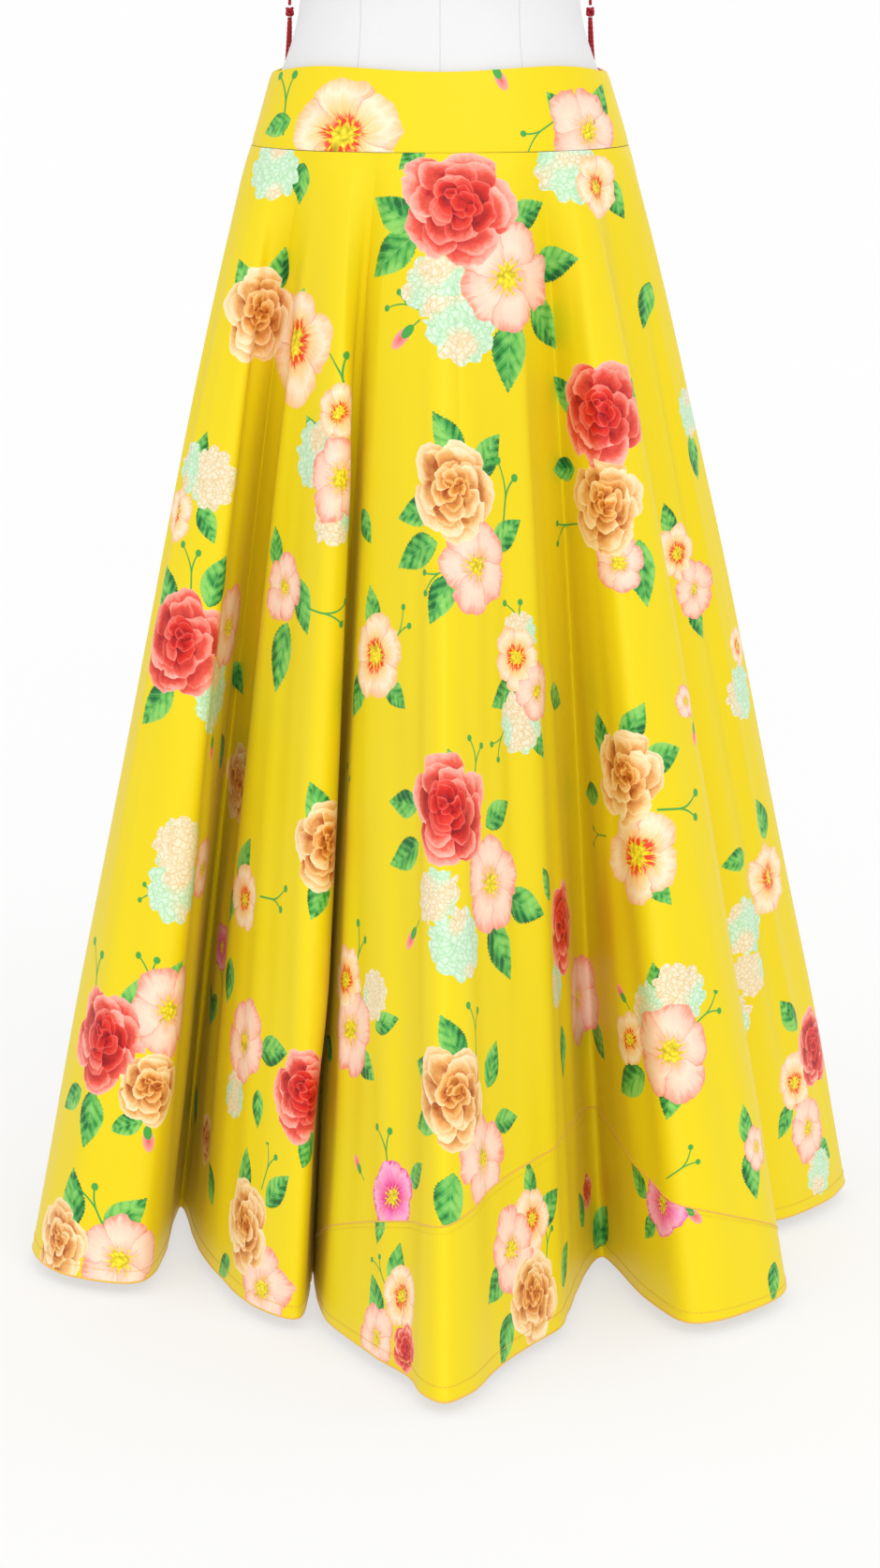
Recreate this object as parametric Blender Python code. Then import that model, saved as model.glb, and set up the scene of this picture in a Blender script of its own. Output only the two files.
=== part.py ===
"""Lehenga choli on a limbless dress form.

A half-circle-cut skirt on a deep shaped waistband, a plain sleeveless bodice
with side ties, and the smooth white form and stand that carry them.
Metres, +Z up, X to the right, the front faces -Y. The origin is the centre
of the stand's underside, on the floor.
"""
import bpy
import bmesh
from math import asin, ceil, cos, degrees, exp, pi, radians, sin, sqrt
from mathutils import Vector

# Driving dimensions: waistband and skirt
BAND_TOP_Z = 1.045            # level line of the band's upper edge
SEAM_Z = 0.980                # seam between the band and the skirt
BAND_TOP_SIZE = (0.1415, 0.1045)   # half-width and half-depth at the upper edge
SEAM_SIZE = (0.1610, 0.1225)       # half-width and half-depth at the seam
BAND_SIDE_DIP = 0.0045        # the upper edge is lower over the hips
BAND_FRONT_RISE = 0.0040      # and higher at the front and back quarters
BAND_WALL = 0.0020
HEM_Z = 0.012                 # the hem hangs just clear of the floor
SKIRT_WALL = 0.0016
HIP_SPRING = 0.052            # how much sooner the cloth springs out at the hip
SEAM_GAP = 0.0003

# The half-circle cut that the pieced corner is marked on
HEM_RADIUS = 1.27
CORNER_SAGITTA = 0.150        # depth of the pieced corner at its middle
CORNER_CENTRE = 0.215         # along the hem from the front tip to that middle
CORNER_LEAST = 0.006          # the corner piece ends where it gets this narrow

# The hem seen from above. One row for each fold, from the left side across
# the front to the right side and round the back. Turns are degrees round the
# seam where the fold's tip and the valley after it start, 0 at the front.
# Every place is (x, y).
# columns: fold, tip turn, valley turn, first corner, tip, second corner, valley
FOLDS = (
    ("left", -62, -44, (-0.361, -0.030), (-0.333, -0.118), (-0.262, -0.146), (-0.238, 0.068)),
    ("left front", -29, -18.5, (-0.212, -0.062), (-0.158, -0.208), (-0.122, -0.240), (-0.112, -0.110)),
    ("front left", -14, -5, (-0.104, -0.196), (-0.095, -0.243), (-0.055, -0.331), (-0.023, -0.386)),
    ("front", 0.5, 11, (-0.014, -0.420), (0.003, -0.441), (0.023, -0.422), (0.046, -0.362)),
    ("front right", 22, 31, (0.070, -0.314), (0.101, -0.262), (0.108, -0.222), (0.143, -0.076)),
    ("right front", 40, 51, (0.176, -0.185), (0.214, -0.251), (0.294, -0.176), (0.288, 0.008)),
    ("right", 67, 90, (0.322, 0.040), (0.366, 0.105), (0.374, 0.158), (0.262, 0.146)),
    ("back right", 107, 122, (0.322, 0.216), (0.303, 0.274), (0.252, 0.288), (0.182, 0.166)),
    ("back near right", 137, 153, (0.214, 0.328), (0.176, 0.374), (0.124, 0.362), (0.074, 0.190)),
    ("back", 171, 188, (0.062, 0.372), (0.010, 0.410), (-0.046, 0.384), (-0.070, 0.200)),
    ("back near left", 205, 220, (-0.112, 0.348), (-0.155, 0.371), (-0.202, 0.334), (-0.176, 0.172)),
    ("back left", 235, 250, (-0.256, 0.296), (-0.301, 0.268), (-0.322, 0.214), (-0.246, 0.146)),
    ("left back", 260, 270, (-0.334, 0.152), (-0.351, 0.104), (-0.342, 0.066), (-0.286, 0.036)),
)
LEFT_SEAM_FOLD = "left back"      # the left seam runs down the valley after this fold
RIGHT_SEAM_FOLD = "right"         # the right seam runs down the valley after this one
COLUMN_STEP = 0.030               # widest facet along the hem
SKIRT_ROWS = (0.0, 0.06, 0.15, 0.28, 0.45, 0.64, 0.82, 1.0)

# The form's level sections: a row for each height
# columns: height, half-width, depth to the front, depth to the back
SEAT_Z = 0.9865                   # the band rests on the hips at this height
SEAT_EASE = 0.0006
FORM_LOW = (
    (0.756, 0.128, 0.088, 0.098),
    (0.790, 0.144, 0.098, 0.110),
    (0.850, 0.152, 0.106, 0.117),
    (0.920, 0.1565, 0.1115, 0.1195),
)
FORM_HIGH = (
    (1.045, 0.1335, 0.0985, 0.0995),
    (1.068, 0.1245, 0.0920, 0.0940),
    (1.098, 0.1175, 0.0870, 0.0890),
    (1.150, 0.1200, 0.0900, 0.0860),
    (1.220, 0.1310, 0.0950, 0.0880),
    (1.290, 0.1420, 0.0980, 0.0930),
    (1.345, 0.1580, 0.0930, 0.0960),
    (1.385, 0.1680, 0.0830, 0.0900),
    (1.405, 0.1600, 0.0740, 0.0800),
    (1.420, 0.1340, 0.0660, 0.0700),
    (1.432, 0.1050, 0.0600, 0.0640),
    (1.446, 0.0760, 0.0560, 0.0590),
    (1.464, 0.0590, 0.0540, 0.0550),
    (1.500, 0.0550, 0.0530, 0.0530),
)
BUST_Z = 1.292
BUST_HEIGHT = 0.066
BUST_TURN = radians(36)           # each side of the centre front
BUST_SPREAD = radians(28)
BUST_FULL = 0.024
FORM_SEGMENTS = 40
FORM_RINGS = 20
SHOULDER_RINGS = (1.370, 1.386, 1.398, 1.408, 1.417, 1.426, 1.434, 1.443, 1.454)

# Stand
BASE_RADIUS = 0.140
BASE_HEIGHT = 0.012
BASE_ROUND = 0.004
COLLAR_RADIUS = 0.032
COLLAR_HEIGHT = 0.030
POLE_RADIUS = 0.0160
CAP_RADIUS = 0.0545
CAP_HEIGHT = 0.016
KNOB_RADIUS = 0.013
TOUCH_GAP = 0.0003

# Bodice
CHOLI_HEM_Z = 1.166
CHOLI_EASE = 0.0041
CHOLI_WALL = 0.0015
CHOLI_COLUMNS = 20
# Rows from the hem up, as shares of the way over the form's skin
CHOLI_ROWS = (0.0, 0.16, 0.31, 0.44, 0.56, 0.67, 0.76, 0.83, 0.89, 0.945, 1.0)
CHOLI_TRAIL = 60                  # fine steps that the rows are spaced on
SIDE_TURN = 89.85                 # degrees from the centre line to the side seam
# Upper edge of each panel, from the centre line to the side seam. The edge
# runs over the shoulder ridge where it is as wide as the form.
# columns: share of the hem, distance from the centre line, height
SHOULDER_EDGE = (
    (0.405, 0.0895, 1.4280),
    (0.430, 0.0912, 1.4340),
    (0.460, 0.0950, 1.4380),
    (0.660, 0.1450, 1.4165),
    (0.685, 0.1392, 1.4130),
    (0.715, 0.1375, 1.4040),
    (0.760, 0.1345, 1.3780),
    (0.830, 0.1315, 1.3460),
    (0.900, 0.1355, 1.3210),
    (0.950, 0.1410, 1.3090),
    (1.000, 0.1500, 1.3045),
)
FRONT_EDGE = (
    (0.000, 0.0000, 1.3320),
    (0.140, 0.0350, 1.3340),
    (0.240, 0.0640, 1.3480),
    (0.300, 0.0790, 1.3720),
    (0.350, 0.0850, 1.4000),
    (0.380, 0.0875, 1.4180),
) + SHOULDER_EDGE
BACK_EDGE = (
    (0.000, 0.0000, 1.3700),
    (0.140, 0.0350, 1.3720),
    (0.240, 0.0640, 1.3810),
    (0.300, 0.0780, 1.3930),
    (0.350, 0.0845, 1.4080),
    (0.380, 0.0875, 1.4190),
) + SHOULDER_EDGE

# Side ties: a cord from each panel's lower corner to one knot, and two tails
TIE_DIAMETER = 0.0028
KNOT_SIZE = (0.0042, 0.0046, 0.0048)
KNOT_PLACE = (0.1285, 0.034, 1.0905)       # the left one has x negative
TIE_FRONT_ROUTE = (
    (0.1257, -0.0080, 1.1648), (0.1257, -0.0078, 1.1600), (0.1268, 0.0000, 1.1400),
    (0.1277, 0.0110, 1.1240), (0.1283, 0.0230, 1.1090), (0.1285, 0.0312, 1.1015),
    (0.1285, 0.0322, 1.0957),
)
TIE_BACK_ROUTE = (
    (0.1194, 0.0300, 1.1648), (0.1196, 0.0303, 1.1600), (0.1240, 0.0352, 1.1400),
    (0.1266, 0.0372, 1.1240), (0.1281, 0.0374, 1.1090), (0.1285, 0.0363, 1.1015),
    (0.1285, 0.0358, 1.0957),
)
TAIL_ROUTES = (
    ("a", ((0.1290, 0.0322, 1.0853), (0.1297, 0.0330, 1.0760), (0.1306, 0.0385, 1.0640),
           (0.1318, 0.0440, 1.0500), (0.1332, 0.0490, 1.0370))),
    ("b", ((0.1281, 0.0358, 1.0853), (0.1281, 0.0385, 1.0760), (0.1285, 0.0440, 1.0640),
           (0.1290, 0.0500, 1.0520), (0.1296, 0.0540, 1.0410))),
)

# Finishes: base colour, roughness, metallic
FINISHES = {
    "yellow_satin": ((0.86, 0.67, 0.045, 1.0), 0.42, 0.0),
    "red_cotton": ((0.22, 0.012, 0.018, 1.0), 0.75, 0.0),
    "white_jersey": ((0.80, 0.79, 0.77, 1.0), 0.80, 0.0),
    "white_enamel": ((0.78, 0.78, 0.76, 1.0), 0.30, 0.0),
    "brushed_steel": ((0.55, 0.55, 0.55, 1.0), 0.30, 1.0),
}


def clear_scene():
    for item in list(bpy.context.scene.objects):
        bpy.data.objects.remove(item, do_unlink=True)


def finish_of(name):
    found = bpy.data.materials.get(name)
    if found:
        return found
    colour, rough, metal = FINISHES[name]
    made = bpy.data.materials.new(name)
    made.use_nodes = True
    shader = made.node_tree.nodes["Principled BSDF"]
    shader.inputs["Base Color"].default_value = colour
    shader.inputs["Roughness"].default_value = rough
    shader.inputs["Metallic"].default_value = metal
    return made


def add_object(name, bm, finish, sharp=radians(40)):
    bmesh.ops.recalc_face_normals(bm, faces=bm.faces[:])
    mesh = bpy.data.meshes.new(name)
    bm.to_mesh(mesh)
    bm.free()
    mesh.shade_smooth()
    mesh.set_sharp_from_angle(angle=sharp)
    mesh.materials.append(finish_of(finish))
    made = bpy.data.objects.new(name, mesh)
    bpy.context.scene.collection.objects.link(made)
    return made


def add_wall(name, outer, inner, finish):
    """A closed wall between two grids of points of the same rows and columns."""
    bm = bmesh.new()
    skins = [[[bm.verts.new(p) for p in row] for row in grid] for grid in (outer, inner)]
    rows, columns = len(outer), len(outer[0])
    for skin in skins:
        for i in range(rows - 1):
            for j in range(columns - 1):
                bm.faces.new((skin[i][j], skin[i][j + 1], skin[i + 1][j + 1], skin[i + 1][j]))
    border = [(0, j) for j in range(columns)]
    border += [(i, columns - 1) for i in range(1, rows)]
    border += [(rows - 1, j) for j in range(columns - 2, -1, -1)]
    border += [(i, 0) for i in range(rows - 2, 0, -1)]
    for (i, j), (k, l) in zip(border, border[1:] + border[:1]):
        bm.faces.new((skins[0][i][j], skins[0][k][l], skins[1][k][l], skins[1][i][j]))
    return add_object(name, bm, finish)


def add_turned(name, profile, finish, segments=40):
    """A closed turned solid from (radius, height) points, from bottom to top."""
    bm = bmesh.new()
    rings = []
    for radius, height in profile:
        if radius == 0.0:
            rings.append([bm.verts.new((0.0, 0.0, height))])
        else:
            turns = [2 * pi * k / segments for k in range(segments)]
            rings.append([bm.verts.new((radius * cos(a), radius * sin(a), height)) for a in turns])
    for low, high in zip(rings, rings[1:]):
        for k in range(segments):
            n = (k + 1) % segments
            if len(low) == 1:
                bm.faces.new((low[0], high[n], high[k]))
            elif len(high) == 1:
                bm.faces.new((low[k], low[n], high[0]))
            else:
                bm.faces.new((low[k], low[n], high[n], high[k]))
    return add_object(name, bm, finish)


# Curves through table points

def spline_point(p0, p1, p2, p3, share):
    """Centripetal Catmull-Rom between p1 and p2."""
    knots = [0.0]
    for a, b in ((p0, p1), (p1, p2), (p2, p3)):
        knots.append(knots[-1] + max(sqrt((b - a).length), 1e-6))
    t = knots[1] + (knots[2] - knots[1]) * share

    def mix(a, b, ta, tb):
        return a * ((tb - t) / (tb - ta)) + b * ((t - ta) / (tb - ta))

    a1 = mix(p0, p1, knots[0], knots[1])
    a2 = mix(p1, p2, knots[1], knots[2])
    a3 = mix(p2, p3, knots[2], knots[3])
    b1 = mix(a1, a2, knots[0], knots[2])
    b2 = mix(a2, a3, knots[1], knots[3])
    return mix(b1, b2, knots[1], knots[2])


def smooth_route(points, step):
    """Points about a step apart on a smooth curve through an open route."""
    pts = [Vector(p) for p in points]
    pts = [pts[0] * 2 - pts[1]] + pts + [pts[-1] * 2 - pts[-2]]
    out = []
    for p0, p1, p2, p3 in zip(pts, pts[1:], pts[2:], pts[3:]):
        count = max(1, ceil((p2 - p1).length / step))
        out += [spline_point(p0, p1, p2, p3, k / count) for k in range(count)]
    return out + [pts[-2]]


def table_at(table, height):
    """The row of a table at a height, smooth between its rows."""
    rows = [Vector(row) for row in table]
    rows = [rows[0] * 2 - rows[1]] + rows + [rows[-1] * 2 - rows[-2]]
    for p0, p1, p2, p3 in zip(rows, rows[1:], rows[2:], rows[3:]):
        if height <= p2[0] or p2 is rows[-2]:
            span = p2[0] - p1[0]
            u = min(max((height - p1[0]) / span, 0.0), 1.0)
            m1 = (p2 - p0) * (span / (p2[0] - p0[0]))
            m2 = (p3 - p1) * (span / (p3[0] - p1[0]))
            return (p1 * (2 * u ** 3 - 3 * u ** 2 + 1) + m1 * (u ** 3 - 2 * u ** 2 + u)
                    + p2 * (3 * u ** 2 - 2 * u ** 3) + m2 * (u ** 3 - u ** 2))
    return rows[-2]


# Waistband and skirt

def band_size(height):
    share = (BAND_TOP_Z - height) / (BAND_TOP_Z - SEAM_Z)
    return [top + (low - top) * share for top, low in zip(BAND_TOP_SIZE, SEAM_SIZE)]


def ellipse_point(size, turn, height, inset=0.0):
    """A point of a level ellipse. Turn 0 is the front, positive to the right."""
    wide, deep = size
    out = Vector((sin(turn) / wide, -cos(turn) / deep, 0.0)).normalized()
    return Vector((wide * sin(turn), -deep * cos(turn), height)) - out * inset


def hem_columns():
    """Hem points, their running length, and their turns round the seam."""
    points, turns, names = [], [], []
    for fold, tip_turn, valley_turn, first, tip, second, valley in FOLDS:
        points += [first, tip, second, valley]
        turns += [None, tip_turn, None, valley_turn]
        names += [None, fold + " tip", None, fold]
    start = names.index(LEFT_SEAM_FOLD)
    points = [Vector((x, y, HEM_Z)) for x, y in points[start:] + points[:start]]
    turns = [-90] + turns[start + 1:] + turns[:start]
    names = names[start:] + names[:start]
    count = len(points)
    columns, marks, anchors = [], {}, []
    for k in range(count):
        marks[names[k]] = len(columns)
        if turns[k] is not None:
            anchors.append((len(columns), radians(turns[k])))
        around = [points[(k + n) % count] for n in (-1, 0, 1, 2)]
        steps = max(2, ceil((around[2] - around[1]).length / COLUMN_STEP))
        columns += [spline_point(*around, n / steps) for n in range(steps)]
    anchors.append((len(columns), radians(270)))
    columns.append(columns[0].copy())
    lengths = [0.0]
    for a, b in zip(columns, columns[1:]):
        lengths.append(lengths[-1] + (b - a).length)
    seam_turns = []
    for (j0, a0), (j1, a1) in zip(anchors, anchors[1:]):
        span = lengths[j1] - lengths[j0]
        seam_turns += [a0 + (a1 - a0) * (lengths[j] - lengths[j0]) / span for j in range(j0, j1)]
    return columns, lengths, seam_turns + [anchors[-1][1]], marks


def skirt_panel(columns, turns):
    """The middle of a panel's cloth, as a function of its column and share down."""
    def place(j, share):
        spring = share + HIP_SPRING * sin(pi * sqrt(share))
        top = ellipse_point(SEAM_SIZE, turns[j], 0.0, SKIRT_WALL / 2)
        low = columns[j]
        level = SEAM_Z - SEAM_GAP + (HEM_Z - SEAM_Z + SEAM_GAP) * share
        return Vector((top.x + (low.x - top.x) * spring, top.y + (low.y - top.y) * spring, level))

    return place


def skins_of(place, count, shares_of, columns_from, wrap):
    """Outer and inner grids of a panel, half a wall each side of its middle."""
    outer, inner = [], []
    rows = len(shares_of(columns_from))
    for i in range(rows):
        out_row, in_row = [], []
        for j in range(columns_from, columns_from + count):
            share = shares_of(j)[i]
            before, after = wrap(j)
            across = after(share) - before(share)
            down = place(j, min(share + 0.01, 1.0)) - place(j, max(share - 0.01, 0.0))
            out = down.cross(across)
            if share in (0.0, 1.0):
                out.z = 0.0
            out.normalize()
            middle = place(j, share)
            out_row.append(middle + out * (SKIRT_WALL / 2))
            in_row.append(middle - out * (SKIRT_WALL / 2))
        outer.append(out_row)
        inner.append(in_row)
    return outer, inner


def corner_height(along):
    """How high the pieced corner's seam stands over the hem."""
    turn = (along - CORNER_CENTRE) / HEM_RADIUS
    return HEM_RADIUS - (HEM_RADIUS - CORNER_SAGITTA) / cos(turn)


def build_skirt():
    columns, lengths, turns, marks = hem_columns()
    seam_at = marks[RIGHT_SEAM_FOLD]
    halves = {
        "front": (columns[:seam_at + 1], turns[:seam_at + 1]),
        "back": (columns[seam_at:], turns[seam_at:]),
    }
    places = {key: skirt_panel(*half) for key, half in halves.items()}
    counts = {key: len(half[0]) for key, half in halves.items()}
    other = {"front": "back", "back": "front"}

    def neighbours(key):
        """The surface one column before and after, across the side seams too."""
        def wrap(j):
            last = counts[key] - 1
            mate, mate_last = other[key], counts[other[key]] - 1
            before = (mate, mate_last - 1) if j == 0 else (key, j - 1)
            after = (mate, 1) if j == last else (key, j + 1)
            return [lambda s, at=at: places[at[0]](at[1], s) for at in (before, after)]
        return wrap

    tip_length = lengths[marks["front tip"]]
    drop = SEAM_Z - HEM_Z
    seam_shares = []
    for s in lengths[:seam_at + 1]:
        height = corner_height(s - tip_length)
        inside = height > CORNER_LEAST and abs(s - tip_length - CORNER_CENTRE) < HEM_RADIUS
        seam_shares.append(1.0 - height / drop if inside else 1.0)
    corner = [j for j, share in enumerate(seam_shares) if share < 1.0]

    def open_edge(grids, at_start, at_end):
        """Draws the side edges back by half a seam gap."""
        for grid in grids:
            for row in grid:
                if at_start:
                    row[0] = row[0] + (row[1] - row[0]).normalized() * (SEAM_GAP / 2)
                if at_end:
                    row[-1] = row[-1] + (row[-2] - row[-1]).normalized() * (SEAM_GAP / 2)
        return grids

    def front_shares(j):
        low = seam_shares[j]
        edge = SEAM_GAP / drop if low < 1.0 else 0.0
        return [share * (low - edge) for share in SKIRT_ROWS]

    front = skins_of(places["front"], counts["front"], front_shares, 0, neighbours("front"))
    back = skins_of(places["back"], counts["back"], lambda j: SKIRT_ROWS, 0, neighbours("back"))
    add_wall("skirt_front", *open_edge(front, True, True), "yellow_satin")
    add_wall("skirt_back", *open_edge(back, True, True), "yellow_satin")

    def corner_shares(j):
        top = seam_shares[j]
        return [top + (1.0 - top) * k / 3 for k in range(4)]

    first, last = corner[0], corner[-1]
    piece = skins_of(places["front"], last - first + 1, corner_shares, first, neighbours("front"))
    add_wall("hem_corner", *open_edge(piece, True, True), "yellow_satin")


def band_top(turn):
    quarters = sin(2 * turn) ** 2
    return BAND_TOP_Z + BAND_FRONT_RISE * quarters - BAND_SIDE_DIP * sin(turn) ** 6


def build_waistband():
    steps, rows = 28, 4
    side_gap = SEAM_GAP / 2 / SEAM_SIZE[1]
    for name, start in (("waistband_front", -pi / 2), ("waistband_back", pi / 2)):
        outer, inner = [], []
        for i in range(rows):
            out_row, in_row = [], []
            for k in range(steps + 1):
                turn = start + side_gap + (pi - 2 * side_gap) * k / steps
                level = band_top(turn) + (SEAM_Z - band_top(turn)) * i / (rows - 1)
                out_row.append(ellipse_point(band_size(level), turn, level))
                in_row.append(ellipse_point(band_size(level), turn, level, BAND_WALL))
            outer.append(out_row)
            inner.append(in_row)
        add_wall(name, outer, inner, "yellow_satin")


# Dress form

def form_table():
    wide, deep = band_size(SEAT_Z)
    seat = (SEAT_Z, wide - BAND_WALL - SEAT_EASE, deep - BAND_WALL - SEAT_EASE,
            deep - BAND_WALL - SEAT_EASE)
    return FORM_LOW + (seat,) + FORM_HIGH


def form_point(turn, height, out=0.0):
    """A point of the form's skin, moved out along its normal."""
    def skin(a, z):
        row = table_at(form_table(), z)
        deep = row[2] if cos(a) > 0 else row[3]
        point = Vector((row[1] * sin(a), -deep * cos(a), z))
        away = abs(((a + pi) % (2 * pi)) - pi)
        bust = exp(-((away - BUST_TURN) / BUST_SPREAD) ** 2) * exp(-((z - BUST_Z) / BUST_HEIGHT) ** 2)
        point.y -= BUST_FULL * bust
        return point

    here = skin(turn, height)
    if out == 0.0:
        return here
    across = skin(turn + 0.01, height) - skin(turn - 0.01, height)
    up = skin(turn, height + 0.001) - skin(turn, height - 0.001)
    return here + across.cross(up).normalized() * out


def build_form():
    table = form_table()
    low, high = table[0][0], table[-1][0]
    bm = bmesh.new()
    rings = []
    shoulder = SHOULDER_RINGS[0] - (high - low) / FORM_RINGS / 2, SHOULDER_RINGS[-1]
    levels = [low + (high - low) * k / FORM_RINGS for k in range(FORM_RINGS + 1)]
    levels = [z for z in levels if not shoulder[0] < z < shoulder[1]]
    levels = sorted(levels + [SEAT_Z] + list(SHOULDER_RINGS))
    for level in levels:
        turns = [2 * pi * k / FORM_SEGMENTS for k in range(FORM_SEGMENTS)]
        rings.append([bm.verts.new(form_point(a, level)) for a in turns])
    for under, over in zip(rings, rings[1:]):
        for k in range(FORM_SEGMENTS):
            n = (k + 1) % FORM_SEGMENTS
            bm.faces.new((under[k], under[n], over[n], over[k]))
    bm.faces.new(rings[0])
    bm.faces.new(rings[-1])
    add_object("form_torso", bm, "white_jersey")


def build_stand():
    low = FORM_LOW[0][0]
    high = FORM_HIGH[-1][0]
    add_turned("base_plate", (
        (0.0, 0.0), (BASE_RADIUS, 0.0), (BASE_RADIUS, BASE_HEIGHT - BASE_ROUND),
        (BASE_RADIUS - BASE_ROUND * 0.3, BASE_HEIGHT - BASE_ROUND * 0.3),
        (BASE_RADIUS - BASE_ROUND, BASE_HEIGHT), (0.0, BASE_HEIGHT)), "white_enamel", 48)
    collar_foot = BASE_HEIGHT + TOUCH_GAP
    collar_top = collar_foot + COLLAR_HEIGHT
    bevel = 0.003
    add_turned("pole_collar", (
        (0.0, collar_foot), (COLLAR_RADIUS, collar_foot), (COLLAR_RADIUS, collar_top - bevel),
        (COLLAR_RADIUS - bevel, collar_top), (0.0, collar_top)), "white_enamel", 32)
    add_turned("pole", (
        (0.0, collar_top + TOUCH_GAP), (POLE_RADIUS, collar_top + TOUCH_GAP),
        (POLE_RADIUS, low - TOUCH_GAP), (0.0, low - TOUCH_GAP)), "brushed_steel", 24)
    cap_foot = high + TOUCH_GAP
    cap_top = cap_foot + CAP_HEIGHT
    add_turned("neck_cap", (
        (0.0, cap_foot), (CAP_RADIUS - 0.002, cap_foot), (CAP_RADIUS, cap_foot + 0.003),
        (CAP_RADIUS - 0.002, cap_top - 0.004), (CAP_RADIUS - 0.010, cap_top - 0.001),
        (KNOB_RADIUS, cap_top), (KNOB_RADIUS * 1.2, cap_top + 0.010),
        (KNOB_RADIUS * 0.9, cap_top + 0.019), (0.0, cap_top + 0.022)), "white_enamel", 32)


# Bodice

def edge_at(table, share):
    """Distance from the centre line, and height, of a panel's upper edge."""
    for (s0, x0, z0), (s1, x1, z1) in zip(table, table[1:]):
        if share <= s1:
            u = (share - s0) / (s1 - s0)
            return x0 + (x1 - x0) * u, z0 + (z1 - z0) * u


def choli_shares():
    """Shares of half the hem, with every row of the edge tables among them."""
    marks = [row[0] for row in FRONT_EDGE]
    shares = []
    for a, b in zip(marks, marks[1:]):
        count = max(1, round((b - a) * CHOLI_COLUMNS / 2 + 0.3))
        shares += [a + (b - a) * k / count for k in range(count)]
    return shares + [1.0]


def choli_column(table, middle, share):
    """(turn, height) for each row of a column, spaced over the form's skin."""
    side = -1.0 if share < 0 else 1.0
    top_x, top = edge_at(table, abs(share))
    foot_x = table_at(form_table(), CHOLI_HEM_Z)[1] * sin(radians(abs(share) * SIDE_TURN))
    trail = []
    for k in range(CHOLI_TRAIL + 1):
        climb = 1.0 - (1.0 - k / CHOLI_TRAIL) ** 2
        level = CHOLI_HEM_Z + (top - CHOLI_HEM_Z) * climb
        across = (foot_x + (top_x - foot_x) * climb) / table_at(form_table(), level)[1]
        turn = SIDE_TURN if abs(share) == 1.0 else min(degrees(asin(min(across, 1.0))), SIDE_TURN)
        trail.append((middle + radians(turn) * side, level))
    spots = [form_point(*step) for step in trail]
    run = [0.0]
    for a, b in zip(spots, spots[1:]):
        run.append(run[-1] + (b - a).length)
    out = []
    for row in CHOLI_ROWS:
        want = row * run[-1]
        k = next(n for n in range(1, len(run)) if run[n] >= want - 1e-9)
        u = (want - run[k - 1]) / (run[k] - run[k - 1])
        out.append([a + (b - a) * u for a, b in zip(trail[k - 1], trail[k])])
    return out


def build_choli():
    half = choli_shares()
    whole = [-s for s in reversed(half[1:])] + half
    for name, table, middle in (("choli_front", FRONT_EDGE, 0.0), ("choli_back", BACK_EDGE, pi)):
        columns = [choli_column(table, middle, share) for share in whole]
        outer, inner = [], []
        for i in range(len(CHOLI_ROWS)):
            places = [column[i] for column in columns]
            outer.append([form_point(turn, z, CHOLI_EASE + CHOLI_WALL) for turn, z in places])
            inner.append([form_point(turn, z, CHOLI_EASE) for turn, z in places])
        add_wall(name, outer, inner, "red_cotton")


def add_cord(name, route):
    curve = bpy.data.curves.new(name, "CURVE")
    curve.dimensions = "3D"
    curve.bevel_depth = TIE_DIAMETER / 2
    curve.bevel_resolution = 2
    curve.use_fill_caps = True
    points = smooth_route(route, TIE_DIAMETER * 2.6)
    spline = curve.splines.new("POLY")
    spline.points.add(len(points) - 1)
    for target, point in zip(spline.points, points):
        target.co = (*point, 1.0)
    curve.materials.append(finish_of("red_cotton"))
    made = bpy.data.objects.new(name, curve)
    bpy.context.scene.collection.objects.link(made)
    return made


def build_ties():
    for side, sign in (("left", -1.0), ("right", 1.0)):
        def mirrored(route):
            return [(x * sign, y, z) for x, y, z in route]
        add_cord(f"tie_{side}_front", mirrored(TIE_FRONT_ROUTE))
        add_cord(f"tie_{side}_back", mirrored(TIE_BACK_ROUTE))
        for tail, route in TAIL_ROUTES:
            add_cord(f"tail_{side}_{tail}", mirrored(route))
        bm = bmesh.new()
        bmesh.ops.create_icosphere(bm, subdivisions=2, radius=1.0)
        for vert in bm.verts:
            vert.co = Vector((c * s + p * (sign if k == 0 else 1.0) for k, (c, s, p)
                              in enumerate(zip(vert.co, KNOT_SIZE, KNOT_PLACE))))
        add_object(f"knot_{side}", bm, "red_cotton")


def main():
    clear_scene()
    build_stand()
    build_form()
    build_waistband()
    build_skirt()
    build_choli()
    build_ties()


main()
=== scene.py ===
"""Lehenga choli on a limbless dress form: the finished look.

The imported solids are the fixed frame. Over them go the printed satin of the
skirt and its band, its creases, seams and stitches, the plain red bodice, the
twisted side ties, and the jersey of the form. Metres, +Z up, the front faces
-Y.
"""
from math import ceil, cos, pi, radians, sin, sqrt

import bmesh
import bpy
import numpy as np
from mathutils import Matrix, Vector
from mathutils.bvhtree import BVHTree


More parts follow.
